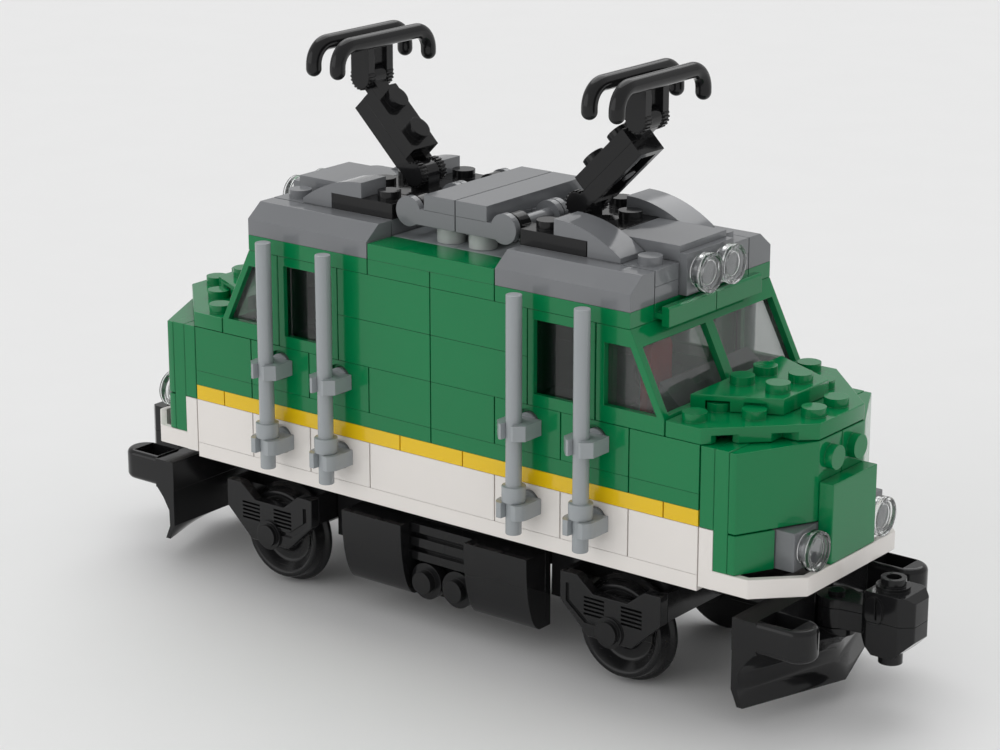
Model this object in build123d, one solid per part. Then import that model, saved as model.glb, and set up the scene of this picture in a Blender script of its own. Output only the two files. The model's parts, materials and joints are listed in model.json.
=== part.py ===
"""Brick-built model electric locomotive: one STEP file per named node.

Frame: millimetres, +X toward the front cab, +Y to the left-hand side, +Z up.
The origin is on the floor under the middle of the locomotive.
Bricks sit on a square grid: plan positions are counted in stud pitches (u) and
heights above the sill in plates (v).
"""
import math
import os
from functools import lru_cache

from build123d import *

os.makedirs("parts", exist_ok=True)

# ---- driving sizes, mm -------------------------------------------------------
PITCH = 8.0             # stud spacing of the brick grid
PLATE_H = 0.4 * PITCH   # five plates stand as high as two pitches
BRICK_H = 3 * PLATE_H
STUD_D = 0.6 * PITCH
STUD_H = 1.7
GAP = 0.1               # set-back of every brick face from its grid line
GRIP = 0.05             # radial clearance of a stud between wall and tube
ROOF_T = 1.0            # thickness of a brick's top skin
EDGE_C = 0.12           # bevel of a large moulding's outer edges
BAR_D = 0.4 * PITCH     # hand-hold bar diameter
BAR_FIT = 0.03          # radial clearance of a clip or pin on its bar or hole
RUN_FIT = 0.06          # radial clearance of a turning shaft

BODY_U = 16             # body length in pitches
BODY_W = 6              # body width in pitches
SILL_GAP = 14.2         # sill underside above the axle line
FLANGE_R = 11.0         # wheel flange radius
TREAD_R = 10.0
TREAD_W = 3.0
FLANGE_W = 1.0
WHEEL_IN = 16.3         # inner face of a wheel from the centre plane
AXLE_D = 3.0
AXLE_U = 5.5            # axle position from the middle, in pitches

ROD_L = 6 * PITCH       # upright grab rod
ROD_OUT = 4.2           # rod axis outside the body side
PIN_HOLE_D = 4.9        # round hole through a clip brick
HOLE_RIM_D = 6.2
HOLE_RIM_T = 0.9

ARM_TILT = 45.0         # lean of the current-collector arm
ARM_L = 2 * PITCH
FINGER_R = 2.35         # click-hinge finger radius
FINGER_REACH = 3.4      # hinge axis beyond the arm's end
FINGER_RISE = 2.4       # hinge axis above the underside of its own plate
HINGE_X = 20.5          # lower hinge axis from the middle
HINGE_UP = 3.1          # lower hinge axis above its base plate
BOW_HALF = 14.4         # contact bow half width, to the tube axis
BOW_DROP = 6.5          # contact bow height, tube axis to tip
BOW_SPACE = 6.4         # distance between the two bows of a head
BOW_R = 4.2             # bend radius of a bow, on the tube axis
HEAD_RISE = 8.0         # bow axis above the head hinge

COUPLER_X = 80.0        # coupler pivot from the middle
COUPLER_REACH = 18.5    # pivot to the coupler's front face

# ---- sizes worked out from them ----------------------------------------------
SILL_Z = FLANGE_R + SILL_GAP
AXLE_Z = FLANGE_R
WALL = PITCH / 2 - GAP - STUD_D / 2 - GRIP
TUBE_D = math.sqrt(2) * PITCH - STUD_D - 2 * GRIP
CORE_D = PITCH - STUD_D - 2 * GRIP
HALF_L = BODY_U * PITCH / 2
HALF_W = BODY_W * PITCH / 2
SIDE_Y = HALF_W - GAP
ROD_Y = SIDE_Y + ROD_OUT
AXLE_X = AXLE_U * PITCH
LOW = (Align.CENTER, Align.CENTER, Align.MIN)
CORNER = (Align.MIN, Align.MIN, Align.MIN)


def zv(v):
    """Height of the level v plates above the sill underside."""
    return SILL_Z + v * PLATE_H


def save(name, *solids):
    """Write the solids of one node as parts/NAME.step."""
    flat = [s for shape in solids for s in shape.solids()]
    export_step(Compound(children=flat), f"parts/{name}.step")


def box(x0, x1, y0, y1, z0, z1):
    """A box between two corners."""
    return Pos(x0, y0, z0) * Box(x1 - x0, y1 - y0, z1 - z0, align=CORNER)


def soft(shape):
    """A convex block with all its edges bevelled."""
    return chamfer(shape.edges(), EDGE_C)


def rod(d, h, x=0, y=0, z=0, rot=(0, 0, 0)):
    """A cylinder standing on (x, y, z), turned by rot about that point."""
    return Pos(x, y, z) * Rot(*rot) * Cylinder(d / 2, h, align=LOW)


def slab_xz(points, y0, y1):
    """A prism with an outline in x and z, from y0 to y1."""
    face = make_face(Polyline(*[(x, 0, z) for x, z in points], close=True))
    return Pos(0, y0, 0) * extrude(face, amount=y1 - y0, dir=(0, 1, 0))


def slab_yz(points, x0, x1):
    """A prism with an outline in y and z, from x0 to x1."""
    face = make_face(Polyline(*[(0, y, z) for y, z in points], close=True))
    return Pos(x0, 0, 0) * extrude(face, amount=x1 - x0, dir=(1, 0, 0))


def slab_xy(points, z0, z1):
    """A prism with an outline in x and y, from z0 to z1."""
    face = make_face(Polyline(*[(x, y, 0) for x, y in points], close=True))
    return Pos(0, 0, z0) * extrude(face, amount=z1 - z0, dir=(0, 0, 1))


def both_ends(shapes):
    """The shapes of the front end and the same turned to the rear end."""
    shapes = list(shapes)
    return shapes + [Rot(0, 0, 180) * s for s in shapes]


def both_sides(shapes):
    """The shapes of the right side and their mirror images."""
    shapes = list(shapes)
    return shapes + [mirror(s, about=Plane.XZ) for s in shapes]


def knob():
    """A bare stud standing on the origin."""
    return Cylinder(STUD_D / 2, STUD_H, align=LOW)


def stud(i, j, h):
    """The stud of grid cell (i, j) on top of a brick of height h."""
    return Pos((i + 0.5) * PITCH, (j + 0.5) * PITCH, h) * knob()


def side_stud(x, y, z, rot=(0, 90, 0)):
    """A stud that stands sideways on (x, y, z), toward +X unless turned otherwise."""
    return Pos(x, y, z) * Rot(*rot) * knob()


@lru_cache(maxsize=None)
def brick(nx, ny, plates=1, studs="all"):
    """A hollow brick of nx by ny pitches; its grid corner is the origin.

    studs is "all", "none" or a tuple of (i, j) cells.
    """
    h = plates * PLATE_H
    body = box(GAP, nx * PITCH - GAP, GAP, ny * PITCH - GAP, 0, h)
    rim = GAP + WALL
    body -= box(rim, nx * PITCH - rim, rim, ny * PITCH - rim, 0, h - ROOF_T)
    inside = []
    if nx > 1 and ny > 1:
        tube = Cylinder(TUBE_D / 2, h - ROOF_T, align=LOW)
        tube -= Cylinder(STUD_D / 2, h - ROOF_T, align=LOW)
        inside = [Pos(i * PITCH, j * PITCH, 0) * tube for i in range(1, nx) for j in range(1, ny)]
    elif nx * ny > 1:
        core = Cylinder(CORE_D / 2, h - ROOF_T, align=LOW)
        half = PITCH / 2
        inside = [Pos(k * PITCH, half, 0) * core if ny == 1 else Pos(half, k * PITCH, 0) * core
                  for k in range(1, nx * ny)]
    if studs == "all":
        studs = tuple((i, j) for i in range(nx) for j in range(ny))
    tops = [stud(i, j, h) for i, j in studs] if studs != "none" else []
    extra = inside + tops
    return (body.fuse(*extra) if extra else body).solids()[0]


def put(shape, ux, uy, v):
    """Place a brick with its grid corner at pitches (ux, uy) and level v."""
    return Pos(ux * PITCH, uy * PITCH, zv(v)) * shape


# ---- side walls --------------------------------------------------------------
@lru_cache(maxsize=None)
def clip_brick():
    """A 1 x 2 brick with a round hole through its middle for a clip's pin."""
    base = brick(2, 1, 3)
    depth, z = PITCH - 2 * GAP, 0.7 * PITCH
    boss = rod(HOLE_RIM_D + 1.2, depth, PITCH, GAP, z, (-90, 0, 0))
    boss -= box(0, 2 * PITCH, 0, PITCH, z + (HOLE_RIM_D + 1.2) / 2 - 0.2, z + PITCH)
    rim = HOLE_RIM_T
    hole = rod(PIN_HOLE_D, PITCH, PITCH, 0, z, (-90, 0, 0))
    sinks = [rod(HOLE_RIM_D, rim + GAP, PITCH, y, z, (-90, 0, 0)) for y in (0, PITCH - rim - GAP)]
    return ((base + boss) - hole - sinks).solids()[0]


def side_row(pieces, v):
    """One course of 1-wide bricks on both sides; pieces are (start, brick)."""
    right = [put(shape, start - BODY_U / 2, -BODY_W / 2, v) for start, shape in pieces]
    return both_sides(right)


CLIP_U = (3, 5, 11, 13)
save("sill_plate", put(brick(BODY_U, BODY_W), -BODY_U / 2, -BODY_W / 2, 0))
save("underframe_plate", put(brick(BODY_U, 4), -BODY_U / 2, -2, -1),
     *both_ends([put(brick(1, 4, 3), 3, -2, -4)]))
save("lower_wall_bricks", *side_row([(0, brick(2, 1, 3)), (6, brick(4, 1, 3)), (14, brick(2, 1, 3))], 1))
save("lower_clip_bricks", *side_row([(u - 1, clip_brick()) for u in CLIP_U], 1))
save("stripe_plates", *side_row([(0, brick(1, 1)), (1, brick(6, 1)), (7, brick(2, 1)),
                                 (9, brick(6, 1)), (15, brick(1, 1))], 4))
save("waist_plates", *side_row([(0, brick(2, 1)), (2, brick(6, 1)), (8, brick(6, 1)),
                                (14, brick(2, 1))], 5))
save("upper_clip_bricks", *side_row([(u - 1, clip_brick()) for u in CLIP_U], 6))
PANEL_ROW = [(5, brick(3, 1, 3)), (8, brick(3, 1, 3))]
save("upper_wall_bricks", *side_row([(u, brick(2, 1, 3)) for u in (0, 6, 8, 14)], 6),
     *side_row(PANEL_ROW, 9), *side_row(PANEL_ROW, 12))


# ---- upright grab rods and their clips ---------------------------------------
CLIP_HALF = 0.4375 * PITCH      # half width of a clip's jaw
CLIP_NOSE = 0.325 * PITCH       # rod axis to the flat front of a jaw
MOUTH_IN, MOUTH_OUT = 0.95, 1.3


@lru_cache(maxsize=None)
def clip(faceted):
    """A clip for an upright bar with a pin into the wall; rod axis at the origin.

    A faceted clip has cut front corners, a plain one is round.
    """
    tall, bore = BAR_D, BAR_D / 2 + BAR_FIT
    jaw = box(-CLIP_HALF, CLIP_HALF, 0, ROD_OUT, -tall / 2, tall / 2)
    if faceted:
        corner = CLIP_NOSE - CLIP_HALF / 2
        jaw += slab_xy([(-CLIP_HALF, 0), (-CLIP_HALF, -corner), (-CLIP_HALF / 2, -CLIP_NOSE),
                        (CLIP_HALF / 2, -CLIP_NOSE), (CLIP_HALF, -corner), (CLIP_HALF, 0)],
                       -tall / 2, tall / 2)
    else:
        jaw += rod(2 * CLIP_HALF, tall, z=-tall / 2)
        jaw -= box(-CLIP_HALF, CLIP_HALF, -CLIP_HALF, -CLIP_NOSE, -tall, tall)
    jaw -= rod(2 * bore, 2 * tall, z=-tall)
    jaw -= slab_xy([(-MOUTH_IN, -MOUTH_IN / 2), (MOUTH_IN, -MOUTH_IN / 2), (MOUTH_OUT, -CLIP_HALF),
                    (-MOUTH_OUT, -CLIP_HALF)], -tall, tall)
    pin = rod(PIN_HOLE_D - 2 * BAR_FIT, PITCH - 2 * GAP - ROOF_T, 0, ROD_OUT, 0, (-90, 0, 0))
    return (jaw + pin).solids()[0]


def clip_z(v):
    """Height of the pin hole in a clip brick standing at level v."""
    return zv(v) + 0.7 * PITCH


CLIP_V, CLIP_TOP_V = 1, 6       # levels of the two rows of clip bricks
ROD_TAIL = 6.7                  # rod end below its collar
clips, rods = [], []
for u in CLIP_U:
    x = (u - BODY_U / 2) * PITCH
    clips += [Pos(x, -ROD_Y, clip_z(v)) * clip(v > CLIP_V) for v in (CLIP_V, CLIP_TOP_V)]
    foot = clip_z(CLIP_V) + BAR_D / 2
    bar = rod(BAR_D, ROD_L, z=foot - ROD_TAIL)
    rods.append(Pos(x, -ROD_Y, 0) * (bar + rod(STUD_D, BAR_D, z=foot)))
save("rod_clips", *both_sides(clips))
save("grab_rods", *both_sides(rods))


# ---- side windows ------------------------------------------------------------
WIN_H = 6 * PLATE_H
WIN_SIDE, WIN_FOOT, WIN_HEAD = 1.5, 2.4, 1.9
PANE_T, PANE_IN, PANE_LIP = 0.9, 1.1, 0.6


def window_frame():
    """A 1 x 2 x 2 window frame with a rebate for its pane."""
    top = 2 * PITCH
    body = box(GAP, top - GAP, GAP, PITCH - GAP, 0, WIN_H)
    body -= box(WIN_SIDE, top - WIN_SIDE, 0, PITCH, WIN_FOOT, WIN_H - WIN_HEAD)
    y0 = GAP + PANE_IN
    body -= box(WIN_SIDE - PANE_LIP, top - WIN_SIDE + PANE_LIP, y0, y0 + PANE_T,
                WIN_FOOT - PANE_LIP, WIN_H - WIN_HEAD + PANE_LIP)
    body -= [rod(STUD_D + 2 * GRIP, STUD_H + 0.1, (i + 0.5) * PITCH, PITCH / 2, 0) for i in (0, 1)]
    body += [stud(i, 0, WIN_H) for i in (0, 1)]
    return body.solids()[0]


def window_pane():
    """The clear pane seated in the rebate of a window frame."""
    y0, inset = GAP + PANE_IN, WIN_SIDE - PANE_LIP
    return box(inset, 2 * PITCH - inset, y0, y0 + PANE_T,
               WIN_FOOT - PANE_LIP, WIN_H - WIN_HEAD + PANE_LIP)


frame_shape, pane_shape = window_frame(), window_pane()
save("side_window_frames", *side_row([(u, frame_shape) for u in (3, 11)], 9))
save("side_window_panes", *side_row([(u, pane_shape) for u in (3, 11)], 9))

# ---- windscreens: hood frame and its clear insert ----------------------------
SCREEN_BACK = HALF_L - 3 * PITCH
SCREEN_TOP = HALF_L - 2 * PITCH
SCREEN_FOOT = HALF_L - PITCH
SCREEN_T = 1.4
SILL_V, HEAD_V = 10, 14
PANE_GAP = 0.05
GLASS_IN = SCREEN_T + 1.0


def screen_outline(inset):
    """Side outline of the windscreen hood, drawn in by inset."""
    lean = (SCREEN_FOOT - SCREEN_TOP) / (5 * PLATE_H)
    slip = inset * math.hypot(1, lean)
    foot, head = zv(10), zv(15)
    return [(SCREEN_BACK + GAP, zv(9)), (SCREEN_FOOT - GAP - inset, zv(9)),
            (SCREEN_FOOT - GAP - inset, foot),
            (SCREEN_TOP - GAP - slip + inset * lean, head - inset),
            (SCREEN_BACK + GAP, head - inset)]


def screen_cutters(grow):
    """Openings of the hood: two sloping front panes and two side panes."""
    foot, head = zv(SILL_V), zv(HEAD_V) - 0.2
    front = []
    for y0, y1 in ((-SIDE_Y + 1.7, -1.3), (1.3, SIDE_Y - 1.7)):
        front.append(box(SCREEN_BACK + 0.45 * PITCH, SCREEN_FOOT + 1, y0 - grow, y1 + grow,
                         foot + 0.4 - grow, head + grow))
    lean = (SCREEN_FOOT - SCREEN_TOP) / (5 * PLATE_H)
    slip = 1.6 - grow * 1.2

    def post(z):
        return SCREEN_FOOT - GAP - lean * (z - zv(10)) - slip

    low, high = foot + 0.2 - grow, head + grow
    side = slab_xz([(SCREEN_BACK + 2.0 - grow, low), (post(low), low), (post(high), high),
                    (SCREEN_BACK + 2.0 - grow, high)], -HALF_W, HALF_W)
    return front, side


def windscreen_frame():
    """The green hood with sloping front: walls, header with studs, four openings."""
    hood = soft(slab_xz(screen_outline(0), -SIDE_Y, SIDE_Y))
    core = slab_xz([(SCREEN_BACK - 1, zv(9) - 1), *screen_outline(SCREEN_T)[1:-1],
                    (SCREEN_BACK - 1, zv(15) - SCREEN_T)], -SIDE_Y + SCREEN_T, SIDE_Y - SCREEN_T)
    low = screen_outline(SCREEN_T)[1][0]
    core += box(SCREEN_BACK - 1, low, -SIDE_Y + SCREEN_T, SIDE_Y - SCREEN_T, zv(9) - 1, zv(9.5))
    hood -= core
    front, side = screen_cutters(0)
    hood -= front
    hood -= side
    tops = [Pos(SCREEN_BACK, 0, zv(15)) * stud(0, j, 0) for j in range(-3, 3)]
    return (hood + tops).solids()[0]


def windscreen_glass():
    """The clear one-piece insert lining the hood behind its four openings."""
    t0, t1 = SCREEN_T + PANE_GAP, GLASS_IN

    def skin(t, back):
        line = screen_outline(t)
        floor, top = zv(9.6), zv(15) - t
        pts = [(back, floor), (line[1][0], floor), line[2], (line[3][0], top), (back, top)]
        return slab_xz(pts, -SIDE_Y + t, SIDE_Y - t)

    return (skin(t0, SCREEN_BACK + 1.2) - skin(t1, SCREEN_BACK)).solids()[0]


save("windscreen_frames", *both_ends([windscreen_frame()]))
save("windscreen_glass", *both_ends([windscreen_glass()]))

# ---- cab interior --------------------------------------------------------------
core_stack = [put(brick(2, 4, 3), 5, -2, 1), put(brick(2, 4, 3), 5, -2, 4),
              put(brick(2, 4), 5, -2, 7), put(brick(2, 4), 5, -2, 8)]


SEAT_X = 5 * PITCH + 4.6        # back of the seat's upright
SEAT_T, SEAT_W, SEAT_TOP = 1.6, 7.2, 13.4


def cab_seat():
    """The upright back of the driver's seat, its top corners rounded."""
    y0 = -1.9 * PITCH
    back = box(SEAT_X, SEAT_X + SEAT_T, y0, y0 + SEAT_W, zv(9), zv(SEAT_TOP))
    back -= [rod(STUD_D + 2 * GRIP, STUD_H + GAP, 5.5 * PITCH, -1.5 * PITCH, zv(9))]
    return fillet(back.edges().filter_by(Axis.X).group_by(Axis.Z)[-1], SEAT_T)


def cab_console():
    """The driver's desk under the windscreen, with a sloping top."""
    x0, x1 = 6 * PITCH + 0.3, SCREEN_FOOT - GAP - GLASS_IN - 0.4
    desk = slab_xz([(x0, zv(9)), (x1, zv(9)), (x1, zv(9.9)), (x0, zv(11.2))], -1.9 * PITCH, 1.9 * PITCH)
    return desk - [rod(STUD_D + 0.2, STUD_H + 0.1, 6.5 * PITCH, (j + 0.5) * PITCH, zv(9))
                   for j in range(-2, 2)]


save("cab_seats", *both_ends([cab_seat()]))
save("cab_consoles", *both_ends([cab_console()]))

# ---- nose, built sideways on anchor bricks -------------------------------------
NOSE_Z = zv(1.5)
SIDE_STUD_Z = 0.7 * PITCH


def anchor_brick():
    """A 1 x 4 brick whose outer face carries four sideways studs."""
    body = brick(1, 4, 3)
    return body + [side_stud(PITCH - GAP, (j + 0.5) * PITCH, SIDE_STUD_Z) for j in range(4)]


anchor = anchor_brick()
anchor_stack = [put(anchor, 7, -2, 1), put(brick(1, 4), 7, -2, 4), put(brick(1, 4), 7, -2, 5),
                put(anchor, 7, -2, 6)]
save("cab_core_bricks", *both_ends(core_stack + anchor_stack))

RIM_FRONT = HALF_L + 2.4 * PITCH
RIM_CUT = PITCH
RIM_T = 1.4
RIM_FOOT = SILL_Z + 1.0
SOCKET_D = STUD_D + 2 * GRIP


def sockets(x, z, cells, depth=STUD_H + GAP + 0.1):
    """Cylindrical pockets that take sideways studs coming from -X."""
    return [rod(SOCKET_D, depth, x, (j + 0.5) * PITCH, z, (0, 90, 0)) for j in cells]


def nose_skirt():
    """White moulded riser with the cut-corner bumper rim below the nose."""
    x0 = HALF_L + GAP
    riser = box(x0, HALF_L + PLATE_H, -SIDE_Y, SIDE_Y, RIM_FOOT, zv(4))
    riser -= sockets(x0, zv(1) + SIDE_STUD_Z, range(-2, 2))

    def outline(t):
        half, cut = SIDE_Y - t, RIM_CUT + 0.1 - t * 0.586
        front = RIM_FRONT - t
        return [(x0, -half), (front - cut, -half), (front, -half + cut),
                (front, half - cut), (front - cut, half), (x0, half)]

    rim = soft(slab_xy(outline(0), RIM_FOOT, NOSE_Z)) - slab_xy(outline(RIM_T), 0, zv(4))
    return (riser + rim).solids()[0]


def nose_mid_layer():
    """The two upright green layers behind the chamfered face."""
    x0, x1, x2 = HALF_L + GAP, HALF_L + PLATE_H, HALF_L + 2 * PLATE_H
    back = soft(box(x0, x1, -SIDE_Y, SIDE_Y, zv(4), zv(9)))
    back -= sockets(x0, zv(6) + SIDE_STUD_Z, range(-2, 2))
    middle = soft(box(x1, x2, -SIDE_Y, SIDE_Y, NOSE_Z, zv(9)))
    back += [side_stud(x1, (j + 0.5) * PITCH, NOSE_Z + 2.5 * PITCH) for j in range(-3, 3)]
    middle -= sockets(x1, NOSE_Z + 2.5 * PITCH, range(-3, 3))
    middle += [side_stud(x2, (j + 0.5) * PITCH, NOSE_Z + (k + 0.5) * PITCH)
               for j in range(-3, 3) for k in range(3)]
    return back, middle


NOSE_X = HALF_L + 2 * PLATE_H
SLOPE_LIP = 1.6


def pocket_row(cells, levels):
    """Pockets for the studs of the middle layer."""
    return [s for k in levels for s in sockets(NOSE_X, NOSE_Z + (k + 0.5) * PITCH, cells)]


def chamfer_upper():
    """Right-hand slope of the nose: a 3-wide, 2-high wedge with two studs."""
    face = NOSE_X + BRICK_H
    wedge = soft(slab_xy([(NOSE_X, -SIDE_Y), (NOSE_X + SLOPE_LIP, -SIDE_Y), (face, -PITCH - GAP),
                          (face, -GAP), (NOSE_X, -GAP)], NOSE_Z + PITCH + GAP, zv(9) - GAP))
    wedge -= pocket_row(range(-3, 0), (1, 2))
    return wedge + [side_stud(face, -PITCH / 2, NOSE_Z + (k + 0.5) * PITCH) for k in (1, 2)]


def chamfer_lower():
    """Right-hand small slope beside the headlight."""
    wedge = soft(slab_xy([(NOSE_X, -SIDE_Y), (NOSE_X + SLOPE_LIP, -SIDE_Y),
                          (NOSE_X + 2 * PLATE_H - 0.8, -2 * PITCH - GAP), (NOSE_X, -2 * PITCH - GAP)],
                         NOSE_Z + GAP, NOSE_Z + PITCH - GAP))
    return wedge - pocket_row((-3,), (0,))


def face_brick(cells, j0):
    """An upright brick of the bottom nose row with studs toward the front."""
    face = NOSE_X + BRICK_H
    y0 = j0 * PITCH
    body = soft(box(NOSE_X, face, y0 + GAP, y0 + cells * PITCH - GAP, NOSE_Z + GAP, NOSE_Z + PITCH - GAP))
    row = range(j0, j0 + cells)
    body -= pocket_row(row, (0,))
    return body + [side_stud(face, (j + 0.5) * PITCH, NOSE_Z + PITCH / 2) for j in row]


LENS_D = PITCH - 2 * GAP


def lens(x, y, z):
    """A clear round tile: neck, flange and a stepped face, pointing to +X."""
    body = rod(0.8 * LENS_D, 1.2, 0, 0, 0, (0, 90, 0)) + rod(LENS_D, PLATE_H - 1.2, 1.2, 0, 0, (0, 90, 0))
    body -= rod(SOCKET_D, STUD_H + 0.1, 0, 0, 0, (0, 90, 0))
    return Pos(x, y, z) * body


def nose_tile():
    """The flat 2 x 2 tile in the middle of the nose."""
    face = NOSE_X + BRICK_H
    tile = soft(box(face, face + PLATE_H, -PITCH + GAP, PITCH - GAP, NOSE_Z + GAP, NOSE_Z + 2 * PITCH - GAP))
    return tile - [s for k in (0, 1) for s in sockets(face, NOSE_Z + (k + 0.5) * PITCH, (-1, 0))]


def wedge_plate(outline, notches, studs, v, cavity):
    """A corner-cut plate: outline in pitches, with studs and stud notches."""
    pts = [(x * PITCH, y * PITCH) for x, y in outline]
    body = soft(slab_xy(pts, zv(v), zv(v + 1)))
    body -= slab_xy([(x * PITCH, y * PITCH) for x, y in cavity], zv(v), zv(v + 1) - ROOF_T)
    body -= [rod(STUD_D + 1.0, 2.1, x * PITCH, y * PITCH, zv(v)) for x, y in notches]
    return body + [Pos(x * PITCH, y * PITCH, zv(v + 1)) * knob() for x, y in studs]


def lower_wedge():
    """The 3 x 6 cut-corner plate that roofs the nose."""
    g = GAP / PITCH
    outline = [(7 + g, -3 + g), (8, -3 + g), (10 - g, -1), (10 - g, 1), (8, 3 - g), (7 + g, 3 - g)]
    r = (GAP + WALL) / PITCH
    cavity = [(7 + r, -3 + r), (8 - r / 4, -3 + r), (8.9, -1.95), (8.9, 1.95), (8 - r / 4, 3 - r),
              (7 + r, 3 - r)]
    studs = [(7.5, j + 0.5) for j in range(-3, 3)] + [(8.5, j + 0.5) for j in range(-2, 2)] \
        + [(9.5, -0.5), (9.5, 0.5)]
    body = wedge_plate(outline, [], studs, 9, cavity)
    slots = [box(x * PITCH - 2.6, x * PITCH + 2.6, -y * PITCH - 4, -y * PITCH + 1.2, zv(9), zv(9) + 1.7)
             for x, y in ((8.5, 2.5), (9.5, 1.5))]
    return body - both_sides(slots)


def upper_wedge():
    """The 2 x 4 trapezoid plate on top of the nose."""
    g = GAP / PITCH
    outline = [(7 + g, -2 + g), (9 - g, -1), (9 - g, 1), (7 + g, 2 - g)]
    studs = [(7.5, -0.5), (7.5, 0.5), (8.5, -0.5), (8.5, 0.5)]
    under = [(7.5, j + 0.5) for j in range(-2, 2)] + [(8.5, j + 0.5) for j in range(-2, 2)]
    r = (GAP + WALL) / PITCH
    cavity = [(7 + r, -0.9), (9 - r, -0.9), (9 - r, 0.9), (7 + r, 0.9)]
    return wedge_plate(outline, under, studs, 10, cavity)


back_layer, middle_layer = nose_mid_layer()
save("nose_skirts", *both_ends([nose_skirt()]))
save("nose_layers", *both_ends([back_layer, middle_layer]))
save("nose_slopes", *both_ends(both_sides([chamfer_upper(), chamfer_lower()])))
save("headlight_bricks", *both_ends(both_sides([face_brick(1, -2)])), *both_ends([face_brick(2, -1)]))
LAMP_X = NOSE_X + BRICK_H
save("headlight_lenses", *both_ends(both_sides([lens(LAMP_X, -1.5 * PITCH, NOSE_Z + PITCH / 2)])))
save("nose_tiles", *both_ends([nose_tile()]))
save("nose_wedges", *both_ends([lower_wedge(), upper_wedge()]))


# ---- roof ------------------------------------------------------------------------
RAIL_DROP = 0.9                 # how far a rail's lip hangs below its plate


def rail_plate():
    """A 1 x 2 plate with a rail along its outer edge; its grid corner is the origin."""
    out = PITCH - GAP
    rail = slab_xz([(out - 1, 0.4), (out + 1.6, 0.4), (out + 1.6, -RAIL_DROP), (out + 3.3, -RAIL_DROP),
                    (out + 3.3, 2.6), (out + 2.9, 3.0), (out - 1, 3.0)], GAP, 2 * PITCH - GAP)
    groove = slab_xz([(out, 1.5), (out + 1.6, 1.5), (out + 1.6, 4), (out, 4)], 0, 2 * PITCH)
    return (brick(1, 2) + (rail - groove)).solids()[0]


rail_shape = rail_plate()
save("roof_edge_plates", *side_row([(2, brick(4, 1)), (10, brick(4, 1))], 15),
     put(brick(2, 6), -2, -3, 15), put(brick(2, 6), 0, -3, 15),
     *side_row([(6, brick(4, 1, 1, "none"))], 16))
save("roof_rail_plates", *both_ends([put(rail_shape, 5, -2, 15), put(rail_shape, 5, 0, 15)]))
save("roof_inner_plates", *both_ends([put(brick(2, 4), 3, -2, 15), put(brick(1, 4), 2, -2, 15)]))


def roof_cap():
    """A 1 x 4 edge brick, two plates high, its outer top edge cut away."""
    y0 = -SIDE_Y
    top, cut_y, cut_z = zv(18), 0.5 * PITCH - GAP, 3.0
    shape = slab_yz([(y0, zv(16)), (y0, top - cut_z), (y0 + cut_y, top), (-2 * PITCH - GAP, top),
                     (-2 * PITCH - GAP, zv(16))], 2 * PITCH + GAP, 6 * PITCH - GAP)
    shape -= box(2 * PITCH + WALL, 6 * PITCH - WALL, y0 + WALL, -2 * PITCH - WALL,
                 zv(16), zv(16) + 2.2)
    return shape


save("roof_caps", *both_ends(both_sides([roof_cap()])))
save("roof_deck_plates", *both_ends([put(brick(4, 1), 2, -2, 16), put(brick(4, 1), 2, 1, 16),
                                     put(brick(3, 2), 2, -1, 16), put(brick(4, 1), 2, -2, 17),
                                     put(brick(4, 1), 2, 1, 17), put(brick(4, 2), 2, -1, 17)]))


def lamp_bracket():
    """A bracket whose upright half-plate carries the two roof lamps."""
    x0 = 6 * PITCH
    base = brick(1, 2)
    upright = box(x0 - GAP, x0 + PLATE_H / 2, -PITCH + GAP, PITCH - GAP, zv(16), zv(16) + PITCH + 0.3)
    studs = [rod(STUD_D, STUD_H, x0 + PLATE_H / 2, s * PITCH / 2, zv(16) + 4.3, (0, 90, 0))
             for s in (-1, 1)]
    return (put(base, 5, -1, 16) + upright + studs).solids()[0]


ROOF_LAMP_X = 6 * PITCH + PLATE_H / 2
save("roof_lamp_brackets", *both_ends([lamp_bracket()]))
save("roof_lamp_lenses", *both_ends([lens(ROOF_LAMP_X, s * PITCH / 2, zv(16) + 4.3) for s in (-1, 1)]))
save("roof_end_tiles", *both_ends([put(brick(2, 2, 1, "none"), 4, -1, 18)]))


CURVE_LIP = 1.0                 # thickness of a curved slope at its low end
CURVE_POWER = 2.1


def side_curve():
    """A curved slope, one wide, stepped over the edge of the clip plate."""
    x0, x1, top, foot = 3 * PITCH + GAP, 5 * PITCH - GAP, zv(20), zv(18)
    low = foot + CURVE_LIP
    arc = [(x0 + (x1 - x0) * t, 0, low + (top - low) * (1 - t ** CURVE_POWER))
           for t in [k / 8 for k in range(9)]]
    edge = Polyline((x1, 0, low), (x1, 0, foot), (x0, 0, foot), (x0, 0, top)) + Spline(*arc)
    body = Pos(0, -2 * PITCH + GAP, 0) * extrude(make_face(edge), amount=PITCH - 2 * GAP, dir=(0, 1, 0))
    body -= box(x0 - 1, 4 * PITCH + GAP, -HALF_W, 0, foot, foot + PLATE_H)
    body -= [rod(SOCKET_D, STUD_H + 0.1, 3.5 * PITCH, -1.5 * PITCH, zv(19)),
             rod(SOCKET_D, STUD_H + 0.1, 4.5 * PITCH, -1.5 * PITCH, zv(18))]
    return body.solids()[0]


save("roof_side_curves", *both_ends(both_sides([side_curve()])))

# ---- middle of the roof: insulators, handle plates and cover tiles ------------------
HANDLE_X = 1.5 * PITCH
HANDLE_Z = zv(18) + 2.4
EYE_R = 0.3875 * PITCH
EYE_T = 1.5
lit = brick(2, 2, 1, ((1, 0), (1, 1)))
base_tiles = [put(lit, -2, -2, 16), put(lit, -2, 0, 16)]
save("insulator_base_tiles", *both_ends(base_tiles))


INSULATOR_D = 5.8


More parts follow.
